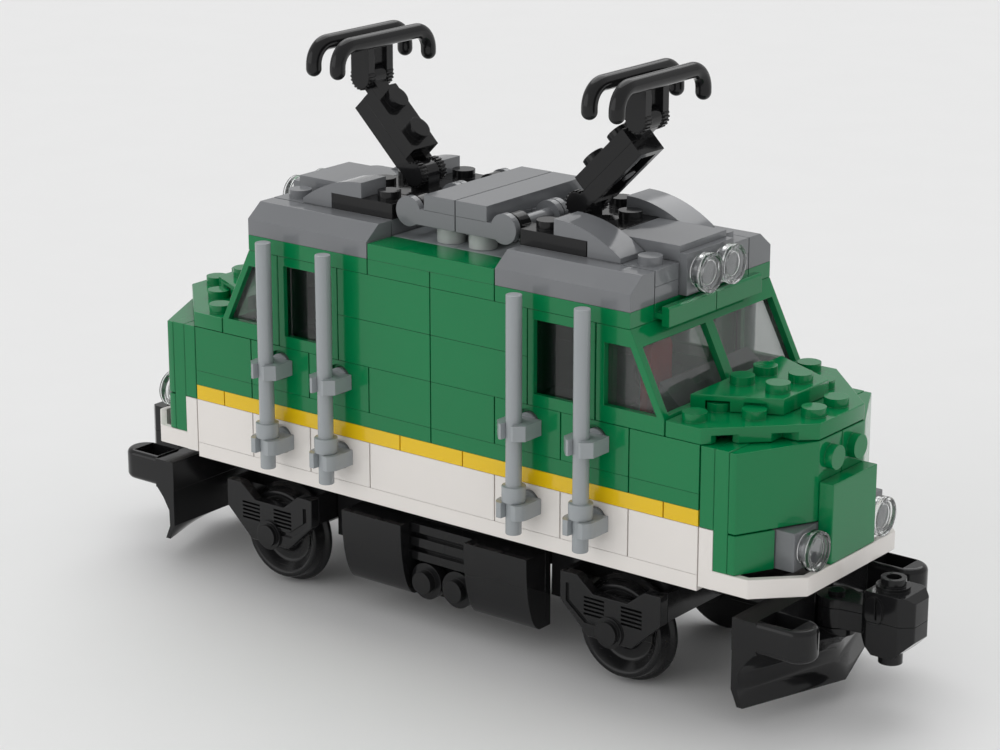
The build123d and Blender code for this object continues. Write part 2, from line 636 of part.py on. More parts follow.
def insulator():
    """A clear round plate with its stud; its axis is the origin."""
    body = rod(INSULATOR_D, PLATE_H) - rod(SOCKET_D, STUD_H + GAP)
    return body + rod(STUD_D, STUD_H, z=PLATE_H)


save("insulators", *[Pos((i + 0.5) * PITCH, (j + 0.5) * PITCH, zv(17)) * insulator()
                     for i in (-1, 0) for j in range(-2, 2)])


def handle_plate():
    """A 1 x 2 plate with a bar between two closed round ends on its outer side."""
    plate = put(brick(1, 2), 0, -2, 18)
    bar = rod(BAR_D, 2 * PITCH - 2 * GAP, HANDLE_X, -2 * PITCH + GAP, HANDLE_Z, (-90, 0, 0))
    ends = []
    for y in (-2 * PITCH + GAP, -GAP - EYE_T):
        eye = rod(2 * EYE_R, EYE_T, HANDLE_X, y, HANDLE_Z, (-90, 0, 0))
        arm = box(PITCH - GAP - WALL, HANDLE_X, y, y + EYE_T, zv(18), zv(19))
        ends += [eye, arm]
    return plate.fuse(bar, *ends).solids()[0]


save("handle_plates", *both_ends(both_sides([handle_plate()])))
save("roof_cover_tiles", put(brick(1, 4, 1, "none"), -1, -2, 19), put(brick(1, 4, 1, "none"), 0, -2, 19))


def clip_plate():
    """A 1 x 2 black plate whose inner end clips round the handle bar."""
    plate = put(brick(2, 1), 2, -2, 18)
    y0, y1 = -1.5 * PITCH - BAR_D / 2, -1.5 * PITCH + BAR_D / 2
    ring = rod(2 * BAR_D / 2 + 2.4, y1 - y0, HANDLE_X, y0, HANDLE_Z, (-90, 0, 0))
    ring += box(HANDLE_X, 2 * PITCH + GAP + WALL, y0, y1, zv(18) + 0.6, zv(19))
    ring -= rod(BAR_D + 2 * BAR_FIT, 2 * PITCH, HANDLE_X, y0 - 4, HANDLE_Z, (-90, 0, 0))
    mouth = slab_xz([(HANDLE_X - 0.6, HANDLE_Z + 0.9), (HANDLE_X - 5, HANDLE_Z + 1.6),
                     (HANDLE_X - 5, HANDLE_Z - 1.6), (HANDLE_X - 0.6, HANDLE_Z - 0.9)], y0 - 1, y1 + 1)
    return (plate + (ring - mouth)).solids()[0]


save("roof_clip_plates", *both_ends(both_sides([clip_plate()])), *both_ends([put(brick(1, 2), 3, -1, 18)]))

# ---- current collectors ----------------------------------------------------------
HINGE_Z = zv(19) + HINGE_UP
GAP_FINGER = 0.15
MID_FINGER = 3.6
FORK_W = PITCH - 2 * GAP
PIN_R = 1.0


def finger(width, y=0.0):
    """One round finger about the Y axis, centred on y."""
    return rod(2 * FINGER_R, width, 0, y - width / 2, 0, (-90, 0, 0))


TEETH, TOOTH_H, TOOTH_W = 20, 0.35, 0.38


def teeth(y0, width):
    """Fine click teeth round the outer edge of a finger."""
    return [Rot(0, 360 / TEETH * k, 0) * box(FINGER_R - TOOTH_H, FINGER_R + TOOTH_H, y0, y0 + width,
                                             -TOOTH_W / 2, TOOTH_W / 2)
            for k in range(TEETH)]


def fork_finger(side):
    """An outer finger of a fork with its click teeth; side is -1 or 1."""
    inner = MID_FINGER / 2 + GAP_FINGER
    width = FORK_W / 2 - inner
    y0 = inner if side > 0 else -FORK_W / 2
    body = finger(width, y0 + width / 2).fuse(*teeth(y0 + EDGE_C, width - 2 * EDGE_C))
    return body.solids()[0]


def hinge_base():
    """The 1 x 2 plate with an upright middle finger on top, at the front collector."""
    plate = put(brick(1, 2, 1, "none"), 2, -1, 18)
    post = Pos(HINGE_X, 0, HINGE_Z) * finger(MID_FINGER)
    post += box(HINGE_X - FINGER_R, HINGE_X + FINGER_R, -MID_FINGER / 2, MID_FINGER / 2, zv(19), HINGE_Z)
    post -= Pos(HINGE_X, 0, HINGE_Z) * rod(2 * (PIN_R + RUN_FIT), 8, 0, -4, 0, (-90, 0, 0))
    return (plate + post).solids()[0]


def arm_frame(shape):
    """Bring a plate drawn along +X from the lower hinge into the leaning arm."""
    return Pos(HINGE_X, 0, HINGE_Z) * Rot(0, -ARM_TILT, 0) * shape


def arm_lower():
    """Lower arm plate, drawn level: fork with a cross pin at its lower end."""
    x0, z0 = FINGER_REACH, -FINGER_RISE
    plate = Pos(x0, -PITCH / 2, z0) * brick(2, 1)
    web_x = FINGER_R + 0.45
    parts = [plate]
    for side in (-1, 1):
        inner = MID_FINGER / 2 + GAP_FINGER
        y0, y1 = (inner, FORK_W / 2) if side > 0 else (-FORK_W / 2, -inner)
        parts += [fork_finger(side), box(0, x0 + WALL, y0, y1, -FINGER_RISE + 0.2, 0.8)]
    parts.append(rod(2 * PIN_R, FORK_W - 1, 0, -FORK_W / 2 + 0.5, 0, (-90, 0, 0)))
    keep_out = box(-web_x, web_x, -MID_FINGER / 2 - GAP_FINGER, MID_FINGER / 2 + GAP_FINGER, -4, 4)
    keep_out -= rod(2 * PIN_R, 10, 0, -5, 0, (-90, 0, 0))
    return (parts[0].fuse(*parts[1:]) - keep_out).solids()[0]


HEAD_OUT = 2 * FINGER_REACH + ARM_L
HEAD_UP = PLATE_H


def arm_upper():
    """Upper arm plate, drawn level: middle finger at its upper end."""
    x0, z0 = FINGER_REACH, -FINGER_RISE + PLATE_H
    plate = Pos(x0, -PITCH / 2, z0) * brick(2, 1)
    tip = Pos(HEAD_OUT, 0, HEAD_UP) * finger(MID_FINGER)
    tip += box(x0 + ARM_L - GAP - WALL, HEAD_OUT, -MID_FINGER / 2, MID_FINGER / 2,
               z0, z0 + PLATE_H)
    tip -= Pos(HEAD_OUT, 0, HEAD_UP) * rod(2 * (PIN_R + RUN_FIT), 8, 0, -4, 0, (-90, 0, 0))
    return (plate + tip).solids()[0]


def head_axis():
    """Position (x, z) of the head hinge in the drawn pose."""
    a = math.radians(ARM_TILT)
    return (HINGE_X + HEAD_OUT * math.cos(a) - HEAD_UP * math.sin(a),
            HINGE_Z + HEAD_OUT * math.sin(a) + HEAD_UP * math.cos(a))


def bow():
    """One contact bow: a bar across the track with both ends turned down."""
    drop = BOW_DROP - BAR_D / 2
    side = BOW_HALF - BOW_R
    tube = rod(BAR_D, 2 * side, 0, -side, 0, (-90, 0, 0))
    ring = Rot(0, 90, 0) * Torus(BOW_R, BAR_D / 2)
    bits = []
    for s in (-1, 1):
        quarter = ring & box(-4, 4, 0 if s > 0 else -9, 9 if s > 0 else 0, 0, 9)
        bits.append(Pos(0, s * side, -BOW_R) * quarter)
        bits.append(rod(BAR_D, drop - BOW_R, 0, s * BOW_HALF, -drop))
        bits.append(Pos(0, s * BOW_HALF, -drop) * Sphere(BAR_D / 2))
    return tube.fuse(*bits)


def collector_head():
    """The shoe: fork about the head hinge, upright block and two bows."""
    web = FINGER_R + 0.45
    inner = MID_FINGER / 2 + GAP_FINGER
    body = box(-FINGER_R, FINGER_R, -FORK_W / 2, FORK_W / 2, web, HEAD_RISE)
    parts = [rod(2 * PIN_R, FORK_W - 1, 0, -FORK_W / 2 + 0.5, 0, (-90, 0, 0))]
    for side in (-1, 1):
        y0, y1 = (inner, FORK_W / 2) if side > 0 else (-FORK_W / 2, -inner)
        parts += [fork_finger(side), box(-FINGER_R, FINGER_R, y0, y1, 0, web + 0.1)]
    for s in (-1, 1):
        parts.append(Pos(s * BOW_SPACE / 2, 0, HEAD_RISE) * bow())
    slot = box(-9, 9, -inner, inner, web, HEAD_RISE - BAR_D / 2 - 0.4)
    return (body - slot).fuse(*parts).solids()[0]


HEAD_X, HEAD_Z = head_axis()
front = {"hinge_base": hinge_base(), "arm_lower": arm_frame(arm_lower()),
         "arm_upper": arm_frame(arm_upper()),
         "head": Pos(HEAD_X, 0, HEAD_Z) * collector_head()}
save("collector_hinge_bases", *both_ends([front["hinge_base"]]))
for end, turn in (("front", 0), ("rear", 180)):
    for key in ("arm_lower", "arm_upper", "head"):
        save(f"{end}_collector_{key}", Rot(0, 0, turn) * front[key])

# ---- wheels, axles and side frames -----------------------------------------------
BASE_HALF = 1.5 * PITCH
FRAME_T = 2.4
WALL_T = 1.4
LEG_Y = 11.5
LEG_T = 3.0


def wheel(side):
    """A flanged wheel on the Y axis: flange inside, dished outer face."""
    back, edge = WHEEL_IN, WHEEL_IN + FLANGE_W
    face_y, hub_y = edge + TREAD_W, edge + TREAD_W - 0.3
    profile = [(0, back), (FLANGE_R - 0.4, back), (FLANGE_R, back + 0.35), (FLANGE_R, edge - 0.3),
               (TREAD_R + 0.1, edge), (TREAD_R, face_y - 0.4), (TREAD_R - 0.4, face_y),
               (0.85 * TREAD_R, face_y), (0.8 * TREAD_R, edge + 1.0), (0.42 * TREAD_R, edge + 0.6),
               (0.3 * TREAD_R, hub_y), (0, hub_y)]
    face = make_face(Polyline(*[(r, y, 0) for r, y in profile], close=True))
    body = revolve(face, axis=Axis.Y)
    body -= rod(AXLE_D, 2 * HALF_W, 0, 0, 0, (-90, 0, 0))
    body = mirror(body, about=Plane.XZ) if side < 0 else body
    return Pos(AXLE_X, 0, AXLE_Z) * body


def axle():
    """The steel axle joining two wheels."""
    half = WHEEL_IN + FLANGE_W + TREAD_W - 0.6
    return rod(AXLE_D, 2 * half, AXLE_X, -half, AXLE_Z, (-90, 0, 0))


def axle_carrier():
    """The plate under the underframe: end walls across and two bearing legs."""
    top, foot = zv(-1), zv(-1) - PLATE_H
    x0, x1 = AXLE_X - BASE_HALF + GAP, AXLE_X + BASE_HALF - GAP
    body = box(x0, x1, -WHEEL_IN + 0.5, WHEEL_IN - 0.5, foot, top)
    reach = SIDE_Y - FRAME_T
    for a in (x0, x1 - WALL_T):
        body += box(a, a + WALL_T, -reach, reach, zv(-1) - 5.8, top)
    for s in (-1, 1):
        y0 = s * LEG_Y - LEG_T / 2
        body += box(AXLE_X - 3.5, AXLE_X + 3.5, y0, y0 + LEG_T, AXLE_Z, foot)
        body += rod(7.0, LEG_T, AXLE_X, y0, AXLE_Z, (-90, 0, 0))
    body -= rod(AXLE_D + 2 * RUN_FIT, 2 * HALF_W, AXLE_X, -HALF_W, AXLE_Z, (-90, 0, 0))
    studs = [rod(STUD_D, STUD_H, AXLE_X + i * PITCH, (j + 0.5) * PITCH, top)
             for i in (-1, 0, 1) for j in range(-2, 2)]
    return body + studs


LOUVRES, LOUVRE_STEP, LOUVRE_W, LOUVRE_CUT = 5, 0.85, 4.9, 0.45
LOUVRE_X, LOUVRE_SHIFT = 4.4, 0.7       # louvre group from the axle, and both groups' offset
LOUVRE_DROP = 5.9                       # middle of the louvres below the frame's top
COVER_DROP = 10.1                       # axle cover below the frame's top
GROOVE_W = 1.0
FRAME_HALF = 0.5 * 3 * PITCH - GAP
FRAME_NOTCH, FRAME_CUT = 3.2, 6.2       # depth of the top notch and of the cut lower corners
FRAME_DEEP = 12.2


def side_frame():
    """The moulded outer frame with louvres, groove and round axle cover."""
    top, w = zv(-1), FRAME_HALF
    outline = [(-w, 0), (-PITCH, 0), (-PITCH / 2, -FRAME_NOTCH), (PITCH / 2, -FRAME_NOTCH), (PITCH, 0),
               (w, 0), (w, -FRAME_DEEP + FRAME_CUT), (w - FRAME_CUT - 0.5, -FRAME_DEEP),
               (FRAME_CUT + 0.5 - w, -FRAME_DEEP), (-w, -FRAME_DEEP + FRAME_CUT)]
    y0 = -SIDE_Y
    body = soft(slab_xz([(AXLE_X + x, top + z) for x, z in outline], y0, y0 + FRAME_T))
    for s in (-1, 1):
        x = AXLE_X + s * LOUVRE_X + LOUVRE_SHIFT
        for k in range(LOUVRES):
            z = top - LOUVRE_DROP + (k - (LOUVRES - 1) / 2) * LOUVRE_STEP
            body -= box(x - LOUVRE_W / 2, x + LOUVRE_W / 2, y0 - 1, y0 + GROOVE_W,
                        z - LOUVRE_CUT / 2, z + LOUVRE_CUT / 2)
    out, low, side = w - 1.4, -FRAME_DEEP + 2.6, 2.9
    body -= slab_xz([(AXLE_X + x, top + z) for x, z in
                     ((-out, -2.2), (-out + GROOVE_W, -2.2), (-out + GROOVE_W, -5.6),
                      (-w + FRAME_CUT + 0.4, low + GROOVE_W), (-side, low + GROOVE_W), (-side, low),
                      (-w + FRAME_CUT - 0.2, low), (-out, -6.0))], y0 - 1, y0 + GROOVE_W / 2)
    cover = rod(STUD_D + 1.6, 0.5, AXLE_X, y0 - 0.5, top - COVER_DROP, (-90, 0, 0))
    cover += rod(STUD_D, 1.4, AXLE_X, y0 - 1.4, top - COVER_DROP, (-90, 0, 0))
    return body + cover


save("axle_carriers", *both_ends([axle_carrier()]))
save("side_frames", *both_ends(both_sides([side_frame()])))
for end, turn in (("front", 0), ("rear", 180)):
    save(f"{end}_wheels", Rot(0, 0, turn) * wheel(1), Rot(0, 0, turn) * wheel(-1))
    save(f"{end}_axle", Rot(0, 0, turn) * axle())

# ---- skirts between the axles -------------------------------------------------------
SKIRT_Y = 2 * PITCH + PLATE_H / 2


def skirt_bracket(u):
    """A bracket under the underframe edge with a 2 x 2 upright face."""
    top = zv(-1)
    flange = box(u * PITCH + GAP, (u + 2) * PITCH - GAP, -2 * PITCH + GAP, -PITCH - GAP, top - PLATE_H, top)
    face = box(u * PITCH + GAP, (u + 2) * PITCH - GAP, -SKIRT_Y, -2 * PITCH + GAP, top - 2 * PITCH, top)
    up = [rod(STUD_D, STUD_H, (u + i + 0.5) * PITCH, -1.5 * PITCH, top) for i in (0, 1)]
    out = [rod(STUD_D, STUD_H, (u + i + 0.5) * PITCH, -SKIRT_Y, top - (k + 0.5) * PITCH, (90, 0, 0))
           for i in (0, 1) for k in (0, 1)]
    return flange + face + up + out


def side_pockets(u, rows):
    """Pockets that take the outward studs of a skirt bracket."""
    return [rod(SOCKET_D, STUD_H + 0.1, (u + i + 0.5) * PITCH, -SKIRT_Y, zv(-1) - (k + 0.5) * PITCH,
                (90, 0, 0)) for i in (0, 1) for k in rows]


PANEL_T, PANEL_FOOT_T, PANEL_POWER = 2 * PLATE_H - 0.1, 1.5, 2.2


def skirt_panel(u):
    """A curved panel, thick at the top and thin at its foot."""
    top, deep = zv(-1), 2 * PITCH
    steps = [math.sin(math.pi / 2 * k / 10) for k in range(11)]
    curve = [(0, -SKIRT_Y - PANEL_FOOT_T - (PANEL_T - PANEL_FOOT_T)
              * math.sqrt(max(0.0, 1 - t ** PANEL_POWER)), top - deep * t) for t in steps]
    edge = Polyline(curve[-1], (0, -SKIRT_Y, top - deep), (0, -SKIRT_Y, top), curve[0]) + Spline(*curve)
    body = Pos(u * PITCH + GAP, 0, 0) * extrude(make_face(edge), amount=2 * PITCH - 2 * GAP, dir=(1, 0, 0))
    return body - side_pockets(u, (0, 1))


def grille_tile():
    """A 1 x 2 tile with three bars, laid sideways."""
    top, back, face = zv(-1) - GAP, -SKIRT_Y, -SKIRT_Y - PLATE_H
    x0, x1, low = -PITCH + GAP, PITCH - GAP, top - PITCH + 2 * GAP
    body = box(x0, x1, face, back, low, top)
    for k in (0, 1):
        z = top - 1.85 - 3.05 * k
        body -= box(x0 - 1, x1 + 1, face - 1, back - 1.9, z - 1.1, z)
    return body - side_pockets(-1, (0,))


def skirt_round(i):
    """A round plate beneath the grille with its stud outward."""
    spin = Pos((i + 0.5) * PITCH, -SKIRT_Y, zv(-1) - 1.5 * PITCH) * Rot(90, 0, 0)
    body = rod(0.8 * LENS_D, 1.2) + rod(LENS_D, PLATE_H - 1.2, z=1.2)
    body = body - rod(SOCKET_D, STUD_H + 0.1) + rod(STUD_D, STUD_H, z=PLATE_H)
    return spin * body


save("skirt_brackets", *both_sides([skirt_bracket(u) for u in (-3, -1, 1)]))
save("skirt_panels", *both_sides([skirt_panel(u) for u in (-3, 1)]))
save("skirt_grilles", *both_sides([grille_tile()]))
save("skirt_round_plates", *both_sides([skirt_round(i) for i in (-1, 0)]))

# ---- buffer beams with plough and buffers --------------------------------------------
BEAM_BACK, BEAM_FRONT = HALF_L + PITCH, HALF_L + PITCH + 5.2
BEAM_H = 6.5
EAR_Z = zv(-1) - 6.4
PIVOT_D = 3.2
EAR_R, EAR_T = 4.2, 1.6
EYE_D = 8.0
BUFFER_FRONT = 87.9     # front of a buffer head
BUFFER_UP = 0.3         # buffer head above the beam's top
BUFFER_FOOT = 6.4       # buffer head's foot below the beam's top
BUFFER_WALL = 1.0
BUFFER_ROUND = 1.2      # rounding of a buffer head's rims
BUFFER_DEEP = 3.2       # depth of the open pocket in a buffer head
BLADE_FOOT = 17.8       # plough foot below the beam's top
BLADE_SWEEP = 8.4       # how far the ridge stands ahead of the plough's ends


def plough():
    """The vee-shaped blade, hollow to the front and swept forward to the middle."""
    top, x = zv(-1), BEAM_BACK
    end = [(x, 2 - BEAM_H), (BEAM_FRONT, 0.3 - BEAM_H), (x + 3.2, -8.4), (x + 1.5, -11.2), (x + 1.4, -14.8),
           (x + 2.7, -BLADE_FOOT), (x + 1.4, -BLADE_FOOT), (x, -14.5)]
    ridge = [(x, 2 - BEAM_H), (x + BLADE_SWEEP + 3.3, -8.0), (x + BLADE_SWEEP + 1.4, -9.6),
             (x + BLADE_SWEEP, -11.6), (x + BLADE_SWEEP, -14.4), (x + BLADE_SWEEP + 2.3, -BLADE_FOOT),
             (x + BLADE_SWEEP + 1.0, -BLADE_FOOT), (x, -14.5)]
    faces = [make_face(Polyline(*[(px, y, top + pz) for px, pz in section], close=True))
             for y, section in ((-SIDE_Y, end), (0.0, ridge))]
    half = loft(faces)
    return half + mirror(half, about=Plane.XZ)


def buffer_head(side):
    """A buffer: round-fronted bucket, its pocket open upward."""
    top, yc, half = zv(-1), side * 2.5 * PITCH, PITCH / 2 - GAP
    foot, mid = top - BUFFER_FOOT, BUFFER_FRONT - half
    shell = rod(2 * half, BUFFER_FOOT + BUFFER_UP, mid, yc, foot) \
        + box(BEAM_FRONT - GAP, mid, yc - half, yc + half, foot, top + BUFFER_UP)
    ends = shell.edges().group_by(Axis.Z)[0] + shell.edges().group_by(Axis.Z)[-1]
    shell = fillet(ends.filter_by(lambda e: e.center().X > BEAM_FRONT), BUFFER_ROUND)
    inner = half - BUFFER_WALL
    return shell - box(BEAM_FRONT + GAP, mid + BUFFER_WALL / 2, yc - inner, yc + inner,
                       top + BUFFER_UP - BUFFER_DEEP, top + 1)


def buffer_beam():
    """Beam, mounting tongue, plough, coupler pivot and two round-headed buffers."""
    top = zv(-1)
    body = box(BEAM_BACK - GAP, BEAM_FRONT, -SIDE_Y, SIDE_Y, top - BEAM_H, top)
    body += box(7 * PITCH + GAP, BEAM_BACK, -PITCH + GAP, PITCH - GAP, top - PLATE_H, top)
    body += [rod(STUD_D, STUD_H, 7.5 * PITCH, s * PITCH / 2, top) for s in (-1, 1)]
    body += plough()
    body += [buffer_head(s) for s in (-1, 1)]
    eye_room = EYE_D / 2 + 0.4
    body -= Pos(COUPLER_X, 0, EAR_Z) * Cylinder(eye_room, 7, align=LOW)
    ear = box(BEAM_FRONT - GAP, COUPLER_X, -EAR_R, EAR_R, EAR_Z - EAR_T, EAR_Z) \
        + rod(2 * EAR_R, EAR_T, COUPLER_X, 0, EAR_Z - EAR_T)
    body += ear + rod(PIVOT_D, 6.6, COUPLER_X, 0, EAR_Z - GAP)
    return body.solids()[0]


BLOCK_HALF = 4.6        # half width of the coupler block
BLOCK_R = 1.0           # rounding of its upright edges
BOSS_X, BOSS_W, BOSS_H, BOSS_T = 10.9, 3.6, 5.6, 0.5
SEAM = zv(-1) - 2.4
MAGNET_D, MAGNET_T = 6.0, 3.0


def coupler_half(upper):
    """Upper or lower moulding of the coupler; they meet at the level of the seam."""
    eye_top, eye_foot = zv(-1) - 0.6, EAR_Z + GAP
    x0 = COUPLER_X
    top, foot = zv(-1) + 3.4, zv(-1) - 9.2
    front = x0 + COUPLER_REACH
    back, wide = x0 + 7.4, BLOCK_HALF
    plan = [(back, -3.2), (back + 1.6, -wide), (front - 2.4, -wide), (front, -2.6), (front, 2.6),
            (front - 2.4, wide), (back + 1.6, wide), (back, 3.2)]
    block = slab_xy(plan, foot, top)
    block = fillet(block.edges().filter_by(Axis.Z), BLOCK_R)
    block &= slab_xz([(back, foot + 3.2), (back + 3.1, foot), (front - 3.6, foot), (front, foot + 3.6),
                      (front, top - 1.2), (front - 1.6, top), (back + 1.4, top), (back, top - 1.6)],
                     -PITCH, PITCH)
    for s in (-1, 1):
        face, mid = s * wide, x0 + BOSS_X
        turn = (-90 * s, 0, 0)
        boss = box(mid - BOSS_W / 2, mid + BOSS_W / 2, -PITCH, PITCH, top - 2.6 - BOSS_H + BOSS_W, top - 2.6)
        boss += [rod(BOSS_W, 2 * PITCH, mid, -PITCH, z, (-90, 0, 0))
                 for z in (top - 2.6, top - 2.6 - BOSS_H + BOSS_W)]
        ends = sorted((face - s, face + s * BOSS_T))
        band = box(back, front, *ends, foot, top)
        block += (boss & band) - box(mid + 0.4, mid + 0.8, -PITCH, PITCH, top - 5.2, top)
    pin_x = x0 + 12.2
    block += rod(6.6, 0.7, pin_x, 0, top) + rod(4.9, 2.2, pin_x, 0, top)
    block -= rod(3.0, 5.0, pin_x, 0, top - 2.4)
    block += rod(4.7, 2.4, pin_x, 0, foot - 2.4)
    neck = slab_xy([(x0, -3.4), (x0 + 8.5, -2.4), (x0 + 8.5, 2.4), (x0, 3.4)], eye_foot, eye_top)
    eye = rod(EYE_D, eye_top - eye_foot, x0, 0, eye_foot)
    whole = block + neck + eye - rod(PIVOT_D + 2 * RUN_FIT, 20, x0, 0, EAR_Z - 5)
    whole -= rod(MAGNET_D + 0.2, MAGNET_T + 0.2, front - 4.4, 0, SEAM, (0, 90, 0))
    if upper:
        return (whole & box(0, 2 * front, -20, 20, SEAM, zv(9))).solids()[0]
    return (whole & box(0, 2 * front, -20, 20, 0, SEAM)).solids()[0]


def coupler_magnet():
    """The round magnet sealed between the two coupler mouldings."""
    return rod(MAGNET_D, MAGNET_T, COUPLER_X + COUPLER_REACH - 4.3, 0, SEAM, (0, 90, 0))


save("buffer_beams", *both_ends([buffer_beam()]))
for end, turn in (("front", 0), ("rear", 180)):
    save(f"{end}_coupler_mouldings", *[Rot(0, 0, turn) * coupler_half(up) for up in (True, False)])
    save(f"{end}_coupler_magnet", Rot(0, 0, turn) * coupler_magnet())
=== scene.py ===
"""Looks of the brick-built electric locomotive, in metres, +X toward the front cab.

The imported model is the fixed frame. Most mouldings keep the CAD shape: their facets
are welded and shaded smooth. Wheels, lenses, insulators and grab rods are surfaces
worked out here, and each finish is a procedural material.
"""

import json
import logging
import math
from dataclasses import dataclass
from enum import Enum

import bpy
import numpy as np
from mathutils import Matrix, Vector


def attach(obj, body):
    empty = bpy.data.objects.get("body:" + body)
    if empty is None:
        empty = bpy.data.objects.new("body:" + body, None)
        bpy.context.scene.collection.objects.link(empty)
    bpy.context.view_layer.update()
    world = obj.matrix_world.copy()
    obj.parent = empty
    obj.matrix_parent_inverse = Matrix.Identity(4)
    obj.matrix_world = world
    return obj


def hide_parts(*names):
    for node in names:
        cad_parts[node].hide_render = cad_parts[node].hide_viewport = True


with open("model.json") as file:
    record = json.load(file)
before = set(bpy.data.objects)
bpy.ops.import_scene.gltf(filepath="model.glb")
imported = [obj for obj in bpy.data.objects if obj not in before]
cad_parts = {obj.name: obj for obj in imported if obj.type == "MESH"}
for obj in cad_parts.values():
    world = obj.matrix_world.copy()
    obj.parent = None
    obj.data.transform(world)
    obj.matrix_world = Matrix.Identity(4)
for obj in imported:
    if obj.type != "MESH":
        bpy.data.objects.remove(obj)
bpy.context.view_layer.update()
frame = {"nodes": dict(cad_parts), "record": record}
LOG = logging.getLogger("locomotive")
Colour = tuple[float, float, float]


def linear(red: int, green: int, blue: int) -> Colour:
    """Turn display values from 0 to 255 into linear light.

    Args:
        red: Red value.
        green: Green value.
        blue: Blue value.

    Returns:
        The three linear values.
    """
    shares = np.array([red, green, blue]) / 255.0
    curve = np.where(shares <= 0.04045, shares / 12.92, ((shares + 0.055) / 1.055) ** 2.4)
    return tuple(float(value) for value in curve)


class End(Enum):
    """The two ends of the locomotive; the value is the sign of x."""

    FRONT = 1
    REAR = -1

    @property
    def word(self) -> str:
        """Return the word that starts the names of this end's nodes."""
        return self.name.lower()


class Slot(Enum):
    """Material slots of the record."""

    WHITE = "white_bricks"
    YELLOW = "yellow_bricks"
    GREEN = "green_bricks"
    DARK_GREY = "dark_grey_bricks"
    LIGHT_GREY = "light_grey_bricks"
    BLACK = "black_bricks"
    RED = "red_bricks"
    CLEAR = "clear_plastic"
    FROSTED = "frosted_clear"
    WHEEL = "wheel_plastic"
    STEEL = "axle_steel"
    MAGNET = "magnet_metal"


# ---- materials -----------------------------------------------------------------
class NodeSheet:
    """A material's node tree with short calls for adding and linking nodes."""

    def __init__(self, name: str) -> None:
        """Start an empty node material.

        Args:
            name: Name of the material.
        """
        self.material = bpy.data.materials.new(name)
        self.material.use_nodes = True
        self.tree = self.material.node_tree
        self.tree.nodes.clear()
        self.place = self.add("ShaderNodeTexCoord").outputs["Object"]

    def add(self, kind: str, **values: object) -> bpy.types.Node:
        """Add a node.

        Args:
            kind: Blender's name of the node type.
            **values: Socket values by lower-case name, or node properties.

        Returns:
            The new node.
        """
        node = self.tree.nodes.new(kind)
        sockets = {socket.name.lower().replace(" ", "_"): socket for socket in reversed(node.inputs)}
        for key, value in values.items():
            if key in sockets:
                sockets[key].default_value = value
            else:
                setattr(node, key, value)
        return node

    def link(self, source: bpy.types.NodeSocket, target: bpy.types.NodeSocket) -> None:
        """Join an output socket to an input socket."""
        self.tree.links.new(source, target)

    def noise(self, per_metre: float, detail: float = 2.0,
              stretch: Colour = (1, 1, 1)) -> bpy.types.NodeSocket:
        """Add noise in the object's own space.

        Args:
            per_metre: Grains in a metre.
            detail: Octaves of finer grain.
            stretch: Scale along each axis before the noise is read.

        Returns:
            The noise value, from 0 to 1.
        """
        grain = self.add("ShaderNodeTexNoise", scale=per_metre, detail=detail)
        place = self.place
        if stretch != (1, 1, 1):
            turn = self.add("ShaderNodeMapping", scale=stretch)
            self.link(place, turn.inputs["Vector"])
            place = turn.outputs["Vector"]
        self.link(place, grain.inputs["Vector"])
        return grain.outputs["Fac"]

    def spread(self, source: bpy.types.NodeSocket, low: float, high: float,
               start: float = 0.3, stop: float = 0.7) -> bpy.types.NodeSocket:
        """Map a value from start..stop onto low..high.

        Args:
            source: Value to map.
            low: Result at start.
            high: Result at stop.
            start: Lower end of the value.
            stop: Upper end of the value.

        Returns:
            The mapped value.
        """
        mapped = self.add("ShaderNodeMapRange", from_min=start, from_max=stop, to_min=low, to_max=high)
        self.link(source, mapped.inputs["Value"])
        return mapped.outputs["Result"]

    def relief(self, height: bpy.types.NodeSocket, depth: float, strength: float,
               soft_edge: float) -> bpy.types.NodeSocket:
        """Turn a height value into a normal, with edges softened.

        Args:
            height: Value from 0 to 1.
            depth: Height of the relief in metres.
            strength: Share of the relief that shows.
            soft_edge: Radius of the softened edges in metres.

        Returns:
            The normal.
        """
        bump = self.add("ShaderNodeBump", strength=strength, distance=depth)
        self.link(height, bump.inputs["Height"])
        edge = self.add("ShaderNodeBevel", radius=soft_edge, samples=4)
        self.link(edge.outputs["Normal"], bump.inputs["Normal"])
        return bump.outputs["Normal"]

    def close(self, shader: bpy.types.Node) -> bpy.types.Material:
        """Join the shader to the output and return the material."""
        out = self.add("ShaderNodeOutputMaterial")
        self.link(shader.outputs[0], out.inputs["Surface"])
        return self.material


